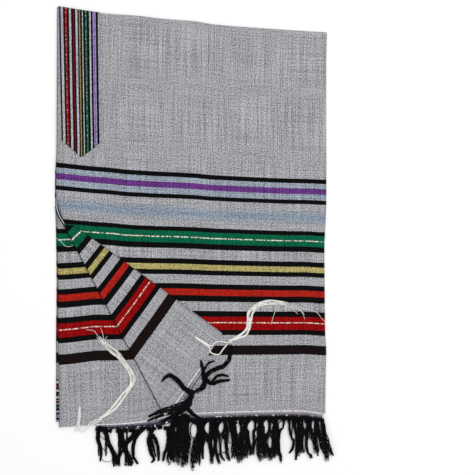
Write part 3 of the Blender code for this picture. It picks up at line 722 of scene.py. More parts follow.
def patch_cloth_place(column, row):
    """The same point in the band's flat cloth, whose stripes cross the patch."""
    return BAND_WIDE * (1 - row.flat), BAND_WIDE * column.flat


band_cloth = make_band_cloth()
band = dress_sheet(
    "neck_band_cloth", woven_grid(band_point, band_cloth_place, places(24), places(70, math.radians(80))),
    [band_cloth], "neck_band",
)
patch = dress_sheet(
    "corner_patch_cloth", woven_grid(patch_point, patch_cloth_place, places(12), places(12)),
    [band_cloth], "corner_patch", thickness=0.9,
)

# %% [markdown]
# Below the hem stitches the weaver left a narrow heading, where the warp ends are caught in a pale
# purple weft before they are knotted. Its upper edge is a line of white hemstitching, and loose
# white stitches dot its lower edge, where the black fringe begins.

# %% The cloth of the headings
def make_heading_cloth(name, body_colours, speckle):
    """Ribbed weft with white stitches. v runs from 0 at the stitches to 1 at the fringe."""
    graph = Graph(name, 0.9)
    u, v = graph.u, graph.v
    mottle = graph.noise(u, v, 230, 3.4, 4.0)
    place = graph.scale(mottle, 0.5, graph.calc("SUBTRACT", v, 0.25))
    body = graph.ramp(place, [(at, linear(*colour)) for at, colour in body_colours], "LINEAR")
    ribs = graph.calc("SINE", graph.scale(u, 2 * math.pi / 0.0038))
    uneven = graph.scale(mottle, speckle, 1 - speckle / 2)
    body = graph.shade(body, graph.calc("MAXIMUM", graph.scale(ribs, 0.2, uneven), 0.15))
    dashes = graph.scale(graph.noise(u, 0.0, 150, 1), 9.0, -3.6, clamp=True)
    body = graph.mix(graph.scale(graph.within(v, 0.08, 0.08, 0.06), dashes), body, linear(242, 241, 245))
    ends = graph.scale(graph.noise(u, v, 170, 2.0), 12.0, -7.0, clamp=True)
    body = graph.mix(graph.scale(ends, graph.within(v, 0.84, 0.12, 0.06)), body, linear(240, 237, 244))
    return graph.finish(body, graph.calc("ADD", ribs, mottle), distance=0.0005, strength=0.7)


heading_cloth = make_heading_cloth("heading_cloth", [
    (0.0, (186, 184, 189)), (0.45, (146, 141, 149)), (0.65, (116, 108, 120)), (0.80, (78, 70, 84)),
    (1.0, (48, 40, 54)),
], speckle=1.8)
heading_below = make_heading_cloth("heading_below", [
    (0.0, (200, 198, 204)), (0.25, (148, 143, 152)), (0.42, (108, 101, 115)), (0.58, (60, 53, 69)),
    (0.85, (36, 30, 42)), (1.0, (44, 38, 50)),
], speckle=6.0)
heading_reverse = make_heading_cloth("heading_reverse", [
    (0.0, (214, 212, 216)), (0.25, (150, 148, 152)), (0.42, (96, 92, 100)), (0.52, (168, 166, 172)),
    (0.74, (124, 120, 128)), (0.82, (40, 35, 44)), (0.92, (110, 106, 114)),
], speckle=3.0)

# %% The headings
HEADING = 12.6  # from the hem stitches to the fringe
HEADING_CLEAR = 0.2  # between the hem and the heading
RIPPLED = 0.8  # how much of the hem's ripples the heading takes


def hem_at(hem, left, along, fold=RIGHT_ROUND):
    """How far up the plan a layer's hem lies at one x."""
    start, end = left[0].place, FRONT_RIGHT[0].place - fold
    return through(hem, (along - start) / (end - start))


def front_edge(along, out):
    """The top layer's heading: along is an x, out is a distance below the hem."""
    hem = hem_at(FRONT_HEM, FRONT_LEFT, along)
    return Vector((along, hem - out, FRONT_MIDDLE + relief(along, hem, hem) * RIPPLED))


def turned_edge(along, out):
    """The same heading where the corner is turned back."""
    return turn_back(front_edge(along, out))


def under_edge(along, out):
    """The second layer's heading, which is wider at one place."""
    hem = hem_at(UNDER_HEM, UNDER_LEFT, along)
    out *= 1 + 0.7 * math.exp(-(((along + 82.0) / 32.0) ** 2))
    height = UNDER_MIDDLE + over_patch(max(along - UNDER_LEFT[0].place, 0.0))
    return Vector((along, hem - out, height + relief(along, hem, hem) * RIPPLED))


def hidden_edge(along, out):
    """The bottom pair's heading."""
    return Vector((along, hem_at(HIDDEN_HEM, HIDDEN_LEFT, along, 0.0) - out, HIDDEN_MIDDLE))


def make_heading(name, below_hem, ends, material, node):
    """A heading strip along one hem."""
    start, end = ends
    count = round((end - start) / 3)

    def point(column, row):
        return below_hem(start + (end - start) * column.flat, HEADING_CLEAR + HEADING * (1 - row.flat))

    def cloth(column, row):
        return (start + (end - start) * column.flat) * MM, 1 - row.flat

    return dress_sheet(name, woven_grid(point, cloth, places(count), places(5)), [material], node)


headings = {
    "front": make_heading("heading_front", front_edge, (-48.0, 289.0), heading_cloth, "fringe_front"),
    "under": make_heading("heading_under", under_edge, (-219.0, 285.0), heading_below, "fringe_under"),
    "hidden": make_heading("heading_hidden", hidden_edge, (-213.0, 287.0), heading_below, "fringe_hidden"),
    "turned": make_heading("heading_turned", turned_edge, (-212.0, -92.0), heading_reverse, "fringe_turned"),
}

# %% [markdown]
# Yarn is a thin tube along a smooth way. A lock is a rope of such tubes that wind slowly round one
# another, and each ends a little sooner or later, which is what makes a tassel look soft. A knot is
# one thick yarn wound round the lock.

# %% Yarn
Yarn = namedtuple("Yarn", "radius, sides")
BLACK_YARN = Yarn(1.25, 5)


def smooth_way(points, runs):
    """A smooth curve through a few points, in a few straight runs from each to the next."""
    points = [Vector(p) for p in points]
    ends = [2 * points[0] - points[1]] + points + [2 * points[-1] - points[-2]]
    curve = []
    for a, b, c, d in zip(ends, ends[1:], ends[2:], ends[3:]):
        for f in steps(runs)[:-1]:
            curve.append(
                0.5 * (2 * b + (c - a) * f + (2 * a - 5 * b + 4 * c - d) * f**2
                       + (3 * b - a - 3 * c + d) * f**3)
            )
    return curve + [points[-1]]


def frames(way, side):
    """The side and up at each point of a way, turned as little as possible."""
    result = []
    sense = 1 if (way[1] - way[0]).cross(side).z >= 0 else -1
    for i in range(len(way)):
        ahead = (way[min(i + 1, len(way) - 1)] - way[max(i - 1, 0)]).normalized()
        side = (side - ahead * side.dot(ahead)).normalized()
        result.append((side, ahead.cross(side) * sense))
    return result


def level_side(way):
    """A flat direction across the start of a way."""
    ahead = way[1] - way[0]
    side = Vector((-ahead.y, ahead.x, 0.0))
    return side.normalized() if side.length > 1e-6 else Vector((1.0, 0.0, 0.0))


def lay_yarn(bm, way, yarn, thick=1.0, tip=0.6):
    """One tube along a way, thinner at its tip, with its length and turn in its UV map."""
    uv = bm.loops.layers.uv.verify()
    rings, length, lengths = [], 0.0, []
    for i, (point, (side, up)) in enumerate(zip(way, frames(way, level_side(way)))):
        length += (point - way[i - 1]).length if i else 0.0
        lengths.append(length)
        radius = yarn.radius * thick * (1 - (1 - tip) * (i / (len(way) - 1)) ** 3)
        rings.append([])
        for k in range(yarn.sides):
            a = 2 * math.pi * k / yarn.sides
            place = point + side * (radius * math.cos(a)) + up * (radius * math.sin(a))
            rings[-1].append(bm.verts.new(place))
    for i, (low, high) in enumerate(zip(rings, rings[1:])):
        for k in range(yarn.sides):
            n = (k + 1) % yarn.sides
            face = bm.faces.new((low[k], low[n], high[n], high[k]))
            face.smooth = True
            for loop, (ring, turn) in zip(face.loops, ((i, k), (i, k + 1), (i + 1, k + 1), (i + 1, k))):
                loop[uv].uv = (lengths[ring] * MM, turn / yarn.sides)
    bm.faces.new(rings[0][::-1])
    bm.faces.new(rings[-1])


print("A black yarn is", 2 * BLACK_YARN.radius, "mm thick")

# %% Locks of yarn, and the openings they part round
LOCK_YARNS = 9


def part_yarn(point, openings, held, yarn):
    """Move a yarn's point out of each opening between knotted halves, always to the same side."""
    for i, (px, py, wide, tall) in enumerate(openings):
        middle = spot(px, py)
        widest = wide * PIXEL + yarn.radius
        up = (point.y - middle.y) / (tall * PIXEL + yarn.radius)
        half = widest * math.sqrt(max(1 - up * up, 0.0))
        reach = 3.2 * widest
        aside = point.x - middle.x
        if half and abs(aside) < reach:
            side = held.setdefault(i, math.copysign(1.0, aside))
            point.x = middle.x + side * (half + max(side * aside, 0.0) * (1 - half / reach))
    return point


def lay_thread(bm, rows, runs, yarn, tip=0.6):
    """One yarn through places on the photograph."""
    lay_yarn(bm, smooth_way(spots(rows), runs), yarn, 1.0, tip)


def lay_lock(
    bm, points, widths, chance, depth=1.8, count=LOCK_YARNS, yarn=BLACK_YARN, turns=1.1, fray=0.1, runs=3,
    sway=0.5, openings=(),
):
    """A rope of yarns along one way. widths are its width at its start, middle and end."""
    way = smooth_way(points, runs)
    first, middle, end_width = widths
    last = len(way) - 1
    spin, hand = chance.uniform(0, 6.28), chance.choice((-1, 1))
    shifts = frames(way, level_side(way))
    for i in range(count):
        share = math.sqrt((i + 0.6) / count)
        end = last - chance.random() * fray * last
        start, wave = spin + 2.4 * i, chance.uniform(0, 6.28)
        lane, held = [], {}
        for k, (point, (across, up)) in enumerate(zip(way, shifts)):
            f = k / last
            width = first + (middle - first) * min(2 * f, 1) + (end_width - middle) * max(2 * f - 1, 0)
            angle = start + hand * turns * 2 * math.pi * f
            swing = sway * math.sin(wave + 9 * f) * smooth(3 * f)
            place = point + across * (math.cos(angle) * share * (width / 2 - yarn.radius) + swing)
            place += up * (math.sin(angle) * share * depth / 2)
            lane.append(part_yarn(place, openings, held, yarn))
            if k > end:
                break
        lay_yarn(bm, lane, yarn, chance.uniform(0.88, 1.12), 0.55)


print("A lock takes", LOCK_YARNS * BLACK_YARN.sides, "corners at each step of its way")

# %% Knots
KNOT_TURNS, TURN_STEPS = 2.2, 10  # how often a yarn goes round, and its steps each time


def lay_knot(bm, middle, ahead, size, chance, yarn=Yarn(1.5, 6), turns=KNOT_TURNS):
    """A yarn wound round a bundle. size is its width, its height and its length."""
    ahead = Vector(ahead).normalized()
    side = Vector((-ahead.y, ahead.x, 0.0)).normalized()
    up = ahead.cross(side)
    up = up if up.z > 0 else -up
    width, height, length = size
    count = round(turns * TURN_STEPS)
    start = chance.uniform(0, 6.28)
    way = []
    for k in range(count + 1):
        f = k / count
        angle = start + f * turns * 2 * math.pi
        bulge = 0.82 + 0.3 * math.sin(math.pi * f)
        way.append(
            Vector(middle) + ahead * (length * (f - 0.5)) + side * (width / 2 * bulge * math.cos(angle))
            + up * (height / 2 * bulge * math.sin(angle))
        )
    lay_yarn(bm, way, yarn, 1.0, 0.9)


print("A knot's yarn takes", round(KNOT_TURNS * TURN_STEPS), "steps")

# %% [markdown]
# The fringe is black yarn with a hint of purple. Each group of warp ends is knotted at the heading,
# then parts, and each half is knotted to its neighbour's half, which leaves a row of small openings.
# The tails below hang loose and ragged. Each opening is a place on the photograph, and a yarn that
# would run through it is moved to one side of it.

# %% Black yarn
def make_yarn(name, colour, second, roughness, twist, depth):
    """A twisted yarn in two colours, with painted shade in the grooves of its twist. twist is the number of
    turns a metre.
    """
    graph = Graph(name, roughness, 0.04)
    patches = graph.node("TexNoise", graph.node("TexCoord").outputs["Object"])
    patches.inputs["Scale"].default_value = 55
    ply = graph.calc("SINE", graph.scale(graph.scale(graph.u, twist, graph.v), 4 * math.pi))
    mixed = graph.scale(patches.outputs["Fac"], 3.0, -1.35, clamp=True)
    body = graph.mix(mixed, linear(*colour), linear(*second))
    # Painted shade: the colour darkens in the grooves of the twist, where the bump is lowest
    body = graph.mix(graph.scale(ply, -0.16, 0.16), body, linear(*[c * 0.45 for c in colour]))
    return graph.finish(body, ply, depth, strength=0.8)


black_yarn = make_yarn("black_yarn", (4, 4, 5), (13, 9, 16), roughness=0.85, twist=160, depth=0.0004)

# %% The top layer's fringe
# Each row is a lock: its width at its start, middle and end, and then its way on the photograph
FRONT_LOCKS = [
    ((12, 15, 10), (191, 418), (197.6, 428), (195, 442), (192.6, 456), (193.6, 470.3)),
    ((15, 16, 11), (198, 418), (201, 430), (198.5, 444), (196.4, 455), (196.4, 463)),
    ((11, 11, 4), (203, 418), (203, 431), (201.4, 446), (199.6, 457), (199.7, 465.3)),
    ((12, 11, 10), (207, 418), (203.3, 432), (203.6, 445), (203.2, 458.4)),
    ((15, 15, 10), (201, 418), (207, 433), (209, 442), (210.6, 453), (212.6, 463.4)),
    ((12, 10, 7), (212, 418), (210.8, 430), (213.4, 441), (213.4, 451), (213, 457)),
    ((15, 11, 8), (216, 418), (214.2, 433), (215.8, 446), (217.2, 455), (219.8, 463.6)),
    ((15, 8, 8), (222, 418), (218, 432), (220.5, 445), (221.4, 455), (225, 460.4)),
    ((12, 15, 10), (225, 418), (223, 432), (225.4, 442), (226.8, 452), (229.6, 460.5)),
    ((12, 15, 12), (229, 418), (230.6, 427), (233, 440), (233.4, 449), (233, 458)),
    ((15, 16, 12), (234, 418), (234.8, 430), (237, 442), (237.8, 452), (239.2, 462.6)),
    ((12, 16, 12), (241, 418), (241, 430), (241.4, 444), (242, 452), (241.8, 460.6)),
    ((15, 18, 12), (247, 418), (245.4, 431), (246, 444), (246.4, 451), (245.8, 457.6)),
    ((10, 10, 8), (249, 418), (248, 431), (249.4, 443), (250.6, 450), (250.6, 455)),
    ((11, 10, 7), (255, 418), (253.6, 431), (253.7, 444), (253.2, 454.6)),
    ((15, 18, 12), (259, 418), (258.8, 431), (258.4, 444), (259, 452), (260.8, 460.8)),
    ((12, 16, 15), (263, 418), (262.2, 431), (264, 444), (265, 452), (264.6, 459)),
    ((12, 11, 12), (269.6, 418), (267.4, 432), (266.4, 442), (269.4, 452), (270.6, 460)),
    ((11, 16, 15), (270.4, 418), (271.6, 432), (272.8, 444), (273, 452), (273.4, 457.6)),
    ((15, 18, 12), (276, 418), (275.6, 431), (277, 444), (276.6, 454)),
    ((12, 11, 10), (284, 418), (280.4, 430), (280, 442), (280, 453), (281, 463)),
    ((11, 12, 8), (288.6, 418), (288.4, 429), (292.4, 440), (291, 448), (288, 452.6)),
    ((12, 11, 7), (293.6, 418), (294.4, 430), (297, 441), (296.4, 450), (296, 459.6)),
    ((12, 16, 15), (297, 418), (301, 433), (300.6, 444), (300.6, 452.6)),
    ((10, 8, 8), (301, 418), (303.4, 432), (303, 444), (303.6, 452)),
    ((11, 10, 10), (306, 418), (306.6, 432), (307.4, 444), (309, 452), (311.4, 457.8)),
    ((12, 18, 18), (310, 418), (311.4, 431), (314.4, 442), (316.2, 452.5)),
    ((12, 16, 12), (315.4, 418), (317.8, 431), (321.6, 443), (325.4, 453), (327.4, 460.8)),
    ((12, 16, 8), (321.6, 418), (323.2, 430), (327, 442), (329.6, 449), (332.6, 455.6)),
]
FRONT_KNOTS_FROM, FRONT_KNOTS_TO, KNOTS_APART = 187.0, 322.5, 3.6
# Each opening is its middle on the photograph, its half width and its half height
FRONT_OPENINGS = [
    (193, 430.5, 2, 7), (207.2, 428, 2.2, 4.2), (221.7, 427, 1.9, 4.6), (226.7, 430.5, 0.8, 4.4),
    (230, 439, 0.7, 7), (238.1, 428, 1.8, 4), (243.1, 426.4, 0.9, 2.2), (212.8, 443, 0.7, 4),
    (218, 445, 0.8, 8), (222.8, 446, 1.1, 8), (206.1, 450, 1.1, 9), (251.6, 426, 2.4, 4.2),
    (251.6, 435, 0.5, 8), (257.7, 426, 1.1, 2.8), (256.4, 433.5, 1, 3.6), (266.4, 427, 2.3, 4.8),
    (272.2, 426.4, 1.2, 3.8), (269.6, 442.2, 1.2, 5), (281, 425, 2.1, 3.4), (286.1, 427, 1.1, 5),
    (285.8, 441, 2.6, 12), (293.3, 433, 1, 6), (297.5, 428, 1.1, 4.8), (301, 424, 1, 2.6),
    (304.6, 424.6, 1, 3), (312.9, 425.4, 0.8, 3.8), (304.4, 443, 0.5, 8), (309.7, 446, 1.2, 7),
    (316, 440, 0.8, 5),
]


def lay_row(bm, locks, chance, height, lifts, sinks, **style):
    """Locks that lie lower and higher in turn, and sink towards their tips."""
    for n, (widths, *way) in enumerate(locks):
        last = len(way) - 1
        way = [spot(*place, height + lifts[n % 2] - sinks * i / last) for i, place in enumerate(way)]
        lay_lock(bm, way, widths, chance, **style)


def make_front_fringe():
    """The top layer's fringe."""
    bm = bmesh.new()
    chance = random.Random(11)
    lay_row(bm, FRONT_LOCKS, chance, 6.0, (-0.15, 0.35), 0.5, runs=5, openings=FRONT_OPENINGS)
    px = FRONT_KNOTS_FROM
    while px < FRONT_KNOTS_TO:
        root = front_edge(spot(px, 0).x, HEADING + 4.4 + chance.uniform(-0.9, 0.9))
        ahead = (chance.uniform(-0.25, 0.25), -1, 0)
        size = (9.5, 3.4, chance.uniform(5.5, 8.0))
        lay_knot(bm, root + Vector((0, 0, 0.7)), ahead, size, chance, Yarn(1.6, 6))
        px += KNOTS_APART
    return dress("fringe_front_yarn", bm, [black_yarn], "fringe_front")


front_fringe = make_front_fringe()

# %% [markdown]
# The second layer's tassels show at the left, where they hang unevenly, cross and share knots. The
# rest of its fringe, and that of the bottom pair, lies beneath the front tails.

# %% The fringes beneath
UNDER_LOCKS = [
    ((12, 10, 6), (99.5, 427), (97.8, 435), (98.5, 441), (101.2, 448), (101.2, 455), (100.3, 461)),
    ((13, 13, 12), (104, 427), (107, 436), (109, 443), (112.5, 450), (116, 457.5), (117.4, 465.4)),
    ((8, 10, 6), (107, 434), (110.4, 445), (113, 455), (114.4, 466.4)),
    ((14, 13, 8), (119, 428), (120.4, 436), (122, 443), (121, 451), (118.4, 459), (120, 466)),
    ((13, 14, 13), (121.6, 429), (122.6, 438), (124.4, 446), (127, 455), (126.6, 465.4)),
    ((13, 12, 12), (136, 429.5), (132, 437), (127, 442.5), (124.4, 449), (129, 457), (132.6, 463.6)),
    ((13, 14, 12), (123, 445), (127, 453), (130.4, 459), (130.2, 465.6)),
    ((12, 10, 6), (137, 431), (134.6, 440), (133, 449), (134, 457), (138.3, 463.6)),
    ((8, 9, 9), (146, 427), (142, 430.5), (138, 435), (135.6, 439)),
    ((18, 16, 13), (152, 427), (151, 433), (150, 440)),
    ((13, 10, 6), (149, 437), (149.5, 446), (152, 454), (154.4, 459), (151.4, 462.2)),
    ((6, 6, 4), (151.5, 438), (153.6, 447), (156, 456.5)),
    ((10, 10, 8), (153, 434), (156.5, 441), (158.2, 449), (159, 460.6)),
    ((14, 16, 13), (169, 426), (169, 440), (171, 452), (172, 460)),
]
UNDER_KNOT_SPOTS = (
    ((98.6, 429), 10), ((103.6, 430), 10), ((110, 430.4), 7), ((119.6, 430.6), 12), ((124.4, 430), 7),
    ((130.8, 430), 7), ((136.4, 430.6), 12), ((141.8, 428.6), 6), ((149, 428.6), 7), ((153.4, 428.6), 10),
    ((122.8, 444), 10), ((151, 436), 11), ((135.4, 436.6), 8), ((166.5, 428), 9), ((170.6, 428), 9),
    ((100.4, 427.4), 9), ((105.5, 428), 9), ((160, 427), 8),
)
LOOSE_YARNS = [
    ((101, 435.5), (103.5, 438.5), (107, 440)), ((102.3, 447), (104.5, 450), (108.4, 452.5)),
    ((100.8, 457.5), (103.5, 460.3), (107.5, 461.5), (112.5, 460.3)),
]
UNDER_BEHIND = (199, 210, 226, 235, 241, 246, 259, 263, 274, 278, 298, 301, 315, 322)
HIDDEN_BEHIND = (
    99, 106, 119, 127, 134, 152, 170, 178, 186, 199, 211, 227, 236, 243, 258, 264, 273, 278, 299, 315, 324,
)
BEHIND_WAY = ((0, 0), (0.2, 12), (0.6, 22), (1, 30))  # how far each point leans, and how far down it is
THIN_YARN = Yarn(0.65, 4)


def hang_behind(bm, columns, knot_py, height, chance):
    """Plain locks that lie beneath the front ones."""
    for px in columns:
        lean = max(px - 300, 0) * 0.2
        way = [spot(px + part * lean, knot_py + down, height) for part, down in BEHIND_WAY]
        lay_lock(bm, way, (6, 7, 6), chance, 0.7, 6, THIN_YARN, turns=0.8, fray=0.15, runs=2)


def make_under_fringe():
    """The second layer's fringe."""
    bm = bmesh.new()
    chance = random.Random(12)
    lay_row(bm, UNDER_LOCKS, chance, 4.6, (0.0, 0.3), 0.7, depth=1.5)
    for place, width in UNDER_KNOT_SPOTS:
        ahead = (chance.uniform(-0.3, 0.3), -1, 0)
        lay_knot(bm, spot(*place, 4.7), ahead, (width + 1.5, 3.0, 8.0), chance, Yarn(1.7, 6), turns=2.6)
    for yarn in LOOSE_YARNS:
        lay_thread(bm, level(4.4, *yarn), 5, Yarn(0.7, 5))
    hang_behind(bm, UNDER_BEHIND, 423, 3.7, chance)
    return dress("fringe_under_yarn", bm, [black_yarn], "fringe_under")


def make_hidden_fringe():
    """The bottom pair's fringe."""
    bm = bmesh.new()
    hang_behind(bm, HIDDEN_BEHIND, 426, 1.5, random.Random(13))
    return dress("fringe_hidden_yarn", bm, [black_yarn], "fringe_hidden")


under_fringe = make_under_fringe()
hidden_fringe = make_hidden_fringe()

# %% [markdown]
# The turned-back corner carries its fringe with it, and the tassels fell as they liked: some curl
# up over the stripes, one doubles back over the corner, and the lowest ones hang over the hem.

# %% The turned corner's fringe
TURNED_LOCKS = [
    ((11, 11, 7), (204.4, 380, 7.8), (203.8, 373, 8.4), (202.2, 366, 8.8), (200.8, 359.8, 8.8)),
    ((6, 6, 4), (204.6, 369, 8.4), (208, 363.5, 8), (211.5, 361.4, 7.8), (215, 360.6, 7.6)),
    ((13, 13, 11), (204, 377, 7.8), (210, 371.8, 7.8), (217, 368, 7.8), (223.5, 366, 7.8),
     (228.6, 360, 7.8), (230.4, 352.4, 7.8), (229.8, 344.4, 7.8)),
    ((13, 11, 8), (203, 375, 8), (207.4, 380.4, 8), (213, 383, 8), (220, 380.6, 8), (230, 380, 7.8)),
    ((7, 8, 6), (212, 382, 8.2), (215.6, 377, 8.4), (221.5, 374.6, 8.2), (229, 376, 7.8)),
    ((15, 15, 13), (204.4, 376, 8.4), (205, 383, 8.6), (201.5, 388, 9), (194.6, 390, 9.2)),
    ((13, 13, 8), (192.6, 391.6, 10), (187, 389.6, 11), (182.6, 385.4, 10.6), (177.4, 380, 10),
     (171.4, 375.2, 10.8), (167.2, 375.4, 11.4), (163.6, 378.6, 12)),
    ((7, 7, 4), (168, 375.6, 11.2), (164.6, 377.6, 11.6), (162.2, 381.4, 12)),
    ((14, 15, 15), (192.4, 390, 9), (191.4, 396, 9), (189.4, 403, 8.8), (186.6, 409, 8.6)),
    ((14, 17, 5), (189.6, 399, 9.4), (184, 402.8, 9.6), (176, 406.4, 10.4), (167, 409, 12.4),
     (160, 411, 11.2), (154, 413.6, 7.4), (148.6, 416.4, 6.4)),
    ((11, 12, 4), (188, 404, 9.2), (180, 408.6, 9.2), (170, 412, 8.8), (160, 415.6, 7.6),
     (147.4, 420.6, 6.6)),
    ((11, 11, 5), (187, 408, 8.8), (178, 413, 8.4), (168, 418, 7.4), (160.4, 421.4, 6.6)),
    ((11, 11, 8), (186, 404, 8.8), (189.6, 410, 8.2), (195, 415, 7.6), (200, 418.4, 7.2)),
    ((13, 11, 7), (174, 417, 8.2), (171, 432, 8), (167.4, 446, 7.6), (164.8, 453, 7.4), (163.2, 460.6, 7.2)),
    ((13, 14, 10), (176, 415.5, 8.4), (172.4, 430, 8.2), (171, 445, 7.8), (169.6, 456, 7.4),
     (168.8, 464.4, 7.2)),
    ((13, 15, 13), (179, 414.4, 8.6), (176, 428, 8.4), (174.6, 445, 7.8), (174, 455, 7.4),
     (173.4, 461.6, 7.2)),
    ((13, 15, 13), (183, 413.4, 8.6), (180, 428, 8.4), (179.2, 445, 7.8), (178.6, 456, 7.4),
     (178, 464.6, 7.2)),
    ((13, 15, 11), (186, 413, 8.6), (184.4, 428, 8.4), (184, 445, 7.8), (183.6, 456, 7.4),
     (182.8, 466.4, 7.2)),
    ((13, 14, 11), (188, 415, 8.4), (188.4, 428, 8.2), (188.8, 442, 7.8), (186.6, 454, 7.4),
     (187, 464.6, 7.2)),
]
TURNED_OPENINGS = [
    (193, 430.5, 2, 7), (176.1, 428.3, 0.6, 2.2), (170, 456, 0.9, 6), (180, 415.8, 1.2, 1.8),
]
TURNED_KNOTS = [
    ((203.8, 373.5, 8.8), (-0.2, 1, 0), 10), ((205.4, 378.4, 8.8), (0.6, -0.8, 0), 11),
    ((192.2, 391.8, 9.8), (-1, 0.5, 0), 10), ((191.2, 396.4, 9.4), (-0.2, -1, 0), 11),
    ((180, 417.4, 8.8), (0, -1, 0), 12), ((186.4, 415.6, 8.8), (0, -1, 0), 12),
    ((174.6, 419.5, 8.6), (0, -1, 0), 12),
]


def make_turned_fringe():
    """The turned corner's fringe."""
    bm = bmesh.new()
    chance = random.Random(14)
    for widths, *way in TURNED_LOCKS:
        lay_lock(bm, spots(way), widths, chance, depth=2.0, runs=4, openings=TURNED_OPENINGS)
    for place, ahead, width in TURNED_KNOTS:
        lay_knot(bm, spot(*place), ahead, (width, 4.0, 7.0), chance)
    return dress("fringe_turned_yarn", bm, [black_yarn], "fringe_turned")


turned_fringe = make_turned_fringe()

# %% [markdown]
# Each corner has a small eyelet, and a ritual thread of off-white wool goes through it. Here the
# threads are still untied: one short knot, and then loose twisted strands in a soft S.

# %% The corner threads
WHITE_YARN = Yarn(0.8, 6)
LEFT_THREAD = [
    ((80.3, 406, 5.9), (79, 415, 6.0), (77.6, 424.4, 6.0), (76.2, 427.5, 5.4), (76.6, 431, 4.6),
     (79.1, 427.5, 4.8), (83, 431, 4.8), (86.6, 429, 5.2), (90.6, 422.5, 6.4), (99, 418.4, 7.0)),
    ((80.3, 406, 5.9), (80.4, 416, 6.0), (79.4, 425.5, 5.8), (82, 430.6, 5.0), (88, 427.5, 5.6),
     (93.7, 423.3, 6.4), (100.5, 420, 7.0)),
]
LEFT_KNOT = ((101.0, 418.0, 7.4), (1, 0.7, 0))
LEFT_WAY = [(101, 418, 7.2), (107, 413.7, 7), (115.3, 406.5, 6.8)] + level(
    6.6, (123.5, 395.3), (130.6, 386), (132.7, 378), (129.6, 369.8), (121.4, 358.6), (113.3, 350.4),
    (104, 342.2), (98, 336),
)
LEFT_ENDS = [
    level(6.4, (100, 338), (97, 334), (95, 331), (91, 329.8), (86.7, 329.5)),
    level(6.4, (104.5, 341), (103.6, 336), (102.6, 332), (101, 328)),
    level(6.4, (106, 343), (105.6, 339), (107.6, 336)),
]
RIGHT_THREAD = [
    ((194.8, 336.5, 7.7), (203, 341, 7.9), (211, 345.5, 8.2), (215, 342.6, 8.8), (220.5, 341, 9.2),
     (227, 342.3, 9.2), (230, 341, 9.2)),
    ((194.8, 336.5, 7.7), (202, 341.4, 7.9), (209.4, 347, 8.0), (210.2, 351, 8.0), (213, 353.4, 8.0),
     (219, 354, 8.6), (223, 349, 9.4), (227.6, 343.4, 9.6)),
]
RIGHT_KNOT = ((230.5, 340.4, 9.4), (1, 0.35, 0))
RIGHT_WAY = [(231, 340, 9.2), (237, 337.5, 8.6), (244.4, 333.7, 7.8)] + level(
    7.4, (248, 328), (249.5, 320.7), (250.5, 313.3), (255.6, 306.9), (263, 303), (273, 301.8),
    (283.3, 303), (292.6, 306),
)
RIGHT_ENDS = [
    level(7.2, (290, 305.5), (296, 308.5), (301.5, 311.5), (304.6, 319)),
    level(7.2, (291, 305), (299, 309), (304.6, 314.5)),
    level(7.2, (288, 305), (293, 309), (297.6, 314)),
    level(7.2, (291, 304), (301.9, 308), (311, 310), (316.7, 312.4), (321.3, 318), (325, 321.6)),
    level(7.2, (277, 303), (275.6, 309), (273, 317), (270.8, 324.4)),
]


def make_corner_thread(name, threads, knot, way, ends, node, seed):
    """One corner's thread, from its eyelet to its frayed ends."""
    bm = bmesh.new()
    chance = random.Random(seed)
    for thread in threads:
        lay_thread(bm, thread, 6, Yarn(1.45, 6), 1.0)
    lay_knot(bm, spot(*knot[0]), knot[1], (8.5, 3.8, 7.0), chance, Yarn(1.2, 6))
    for hand in (-1, 1):
        half = spots(way)
        sides = [side for side, _ in frames(half, level_side(half))]
        gap = [4.0 * smooth(k / 1.5) * (0.75 + 0.32 * math.sin(k * 2.3 + seed)) for k in range(len(half))]
        half = [point + side * hand * g for point, side, g in zip(half, sides, gap)]
        lay_lock(bm, half, (5.5, 7, 6), chance, 1.8, 6, WHITE_YARN, turns=2.6, fray=0.08, runs=7, sway=0.9)
    for end in ends:
        lay_thread(bm, end, 6, Yarn(0.6, 5), 0.5)
    return dress(name, bm, [white_yarn], node)


white_yarn = make_yarn(
    "white_yarn", (253, 252, 248), (240, 237, 229), roughness=0.8, twist=190, depth=0.0005)
left_thread = make_corner_thread(
    "tzitzit_under_yarn", LEFT_THREAD, LEFT_KNOT, LEFT_WAY, LEFT_ENDS, "tzitzit_under", 21)
right_thread = make_corner_thread(
    "tzitzit_turned_yarn", RIGHT_THREAD, RIGHT_KNOT, RIGHT_WAY, RIGHT_ENDS, "tzitzit_turned", 22)

# %% [markdown]
# Where the crease begins, the neck edge curls into a small roll: a light thread is painted highlight
# on its top, between two dark ones that are painted shade at its sides. One loose end of weft lies
# below it. They are yarns, as the fringe is.

# %% The curled neck edge
EDGE_ROLL = [(57.1, 205.5, 6.4), (57.8, 210.5, 6.6), (59.8, 215.6, 6.8), (62.6, 220.4, 7), (64.6, 223.6, 7.4)]
LOOSE_END = [(58.2, 239, 5.2), (62.4, 242.6, 5.4), (65.6, 246, 5.4), (69.6, 246.6, 5.4), (73.6, 245.4, 5.4)]


def make_neck_edge():
    """The rolled neck edge above the crease: a light thread as painted highlight between two dark ones as
    painted shade, and a loose end.
    """
    dark, light = bmesh.new(), bmesh.new()
    # Two dark yarns paint the shade at the sides of the roll
    for aside in (-2.1, 2.1):
        way = [spot(*place) + Vector((aside, 0.45 * aside, 0.5)) for place in EDGE_ROLL]
        lay_yarn(dark, smooth_way(way, 5), Yarn(1.2, 6), 1.0, 0.9)
    # A light thread paints the highlight on top of the roll; the loose end is a real weft thread
    lay_thread(light, EDGE_ROLL, 5, Yarn(0.85, 6), 0.8)
    lay_thread(light, LOOSE_END, 5, Yarn(0.5, 5), 0.7)
    return [dress("neck_edge_painted_shade", dark, [black_yarn]), dress("neck_edge_painted_highlight_and_loose_end", light, [white_yarn])]


neck_edge = make_neck_edge()

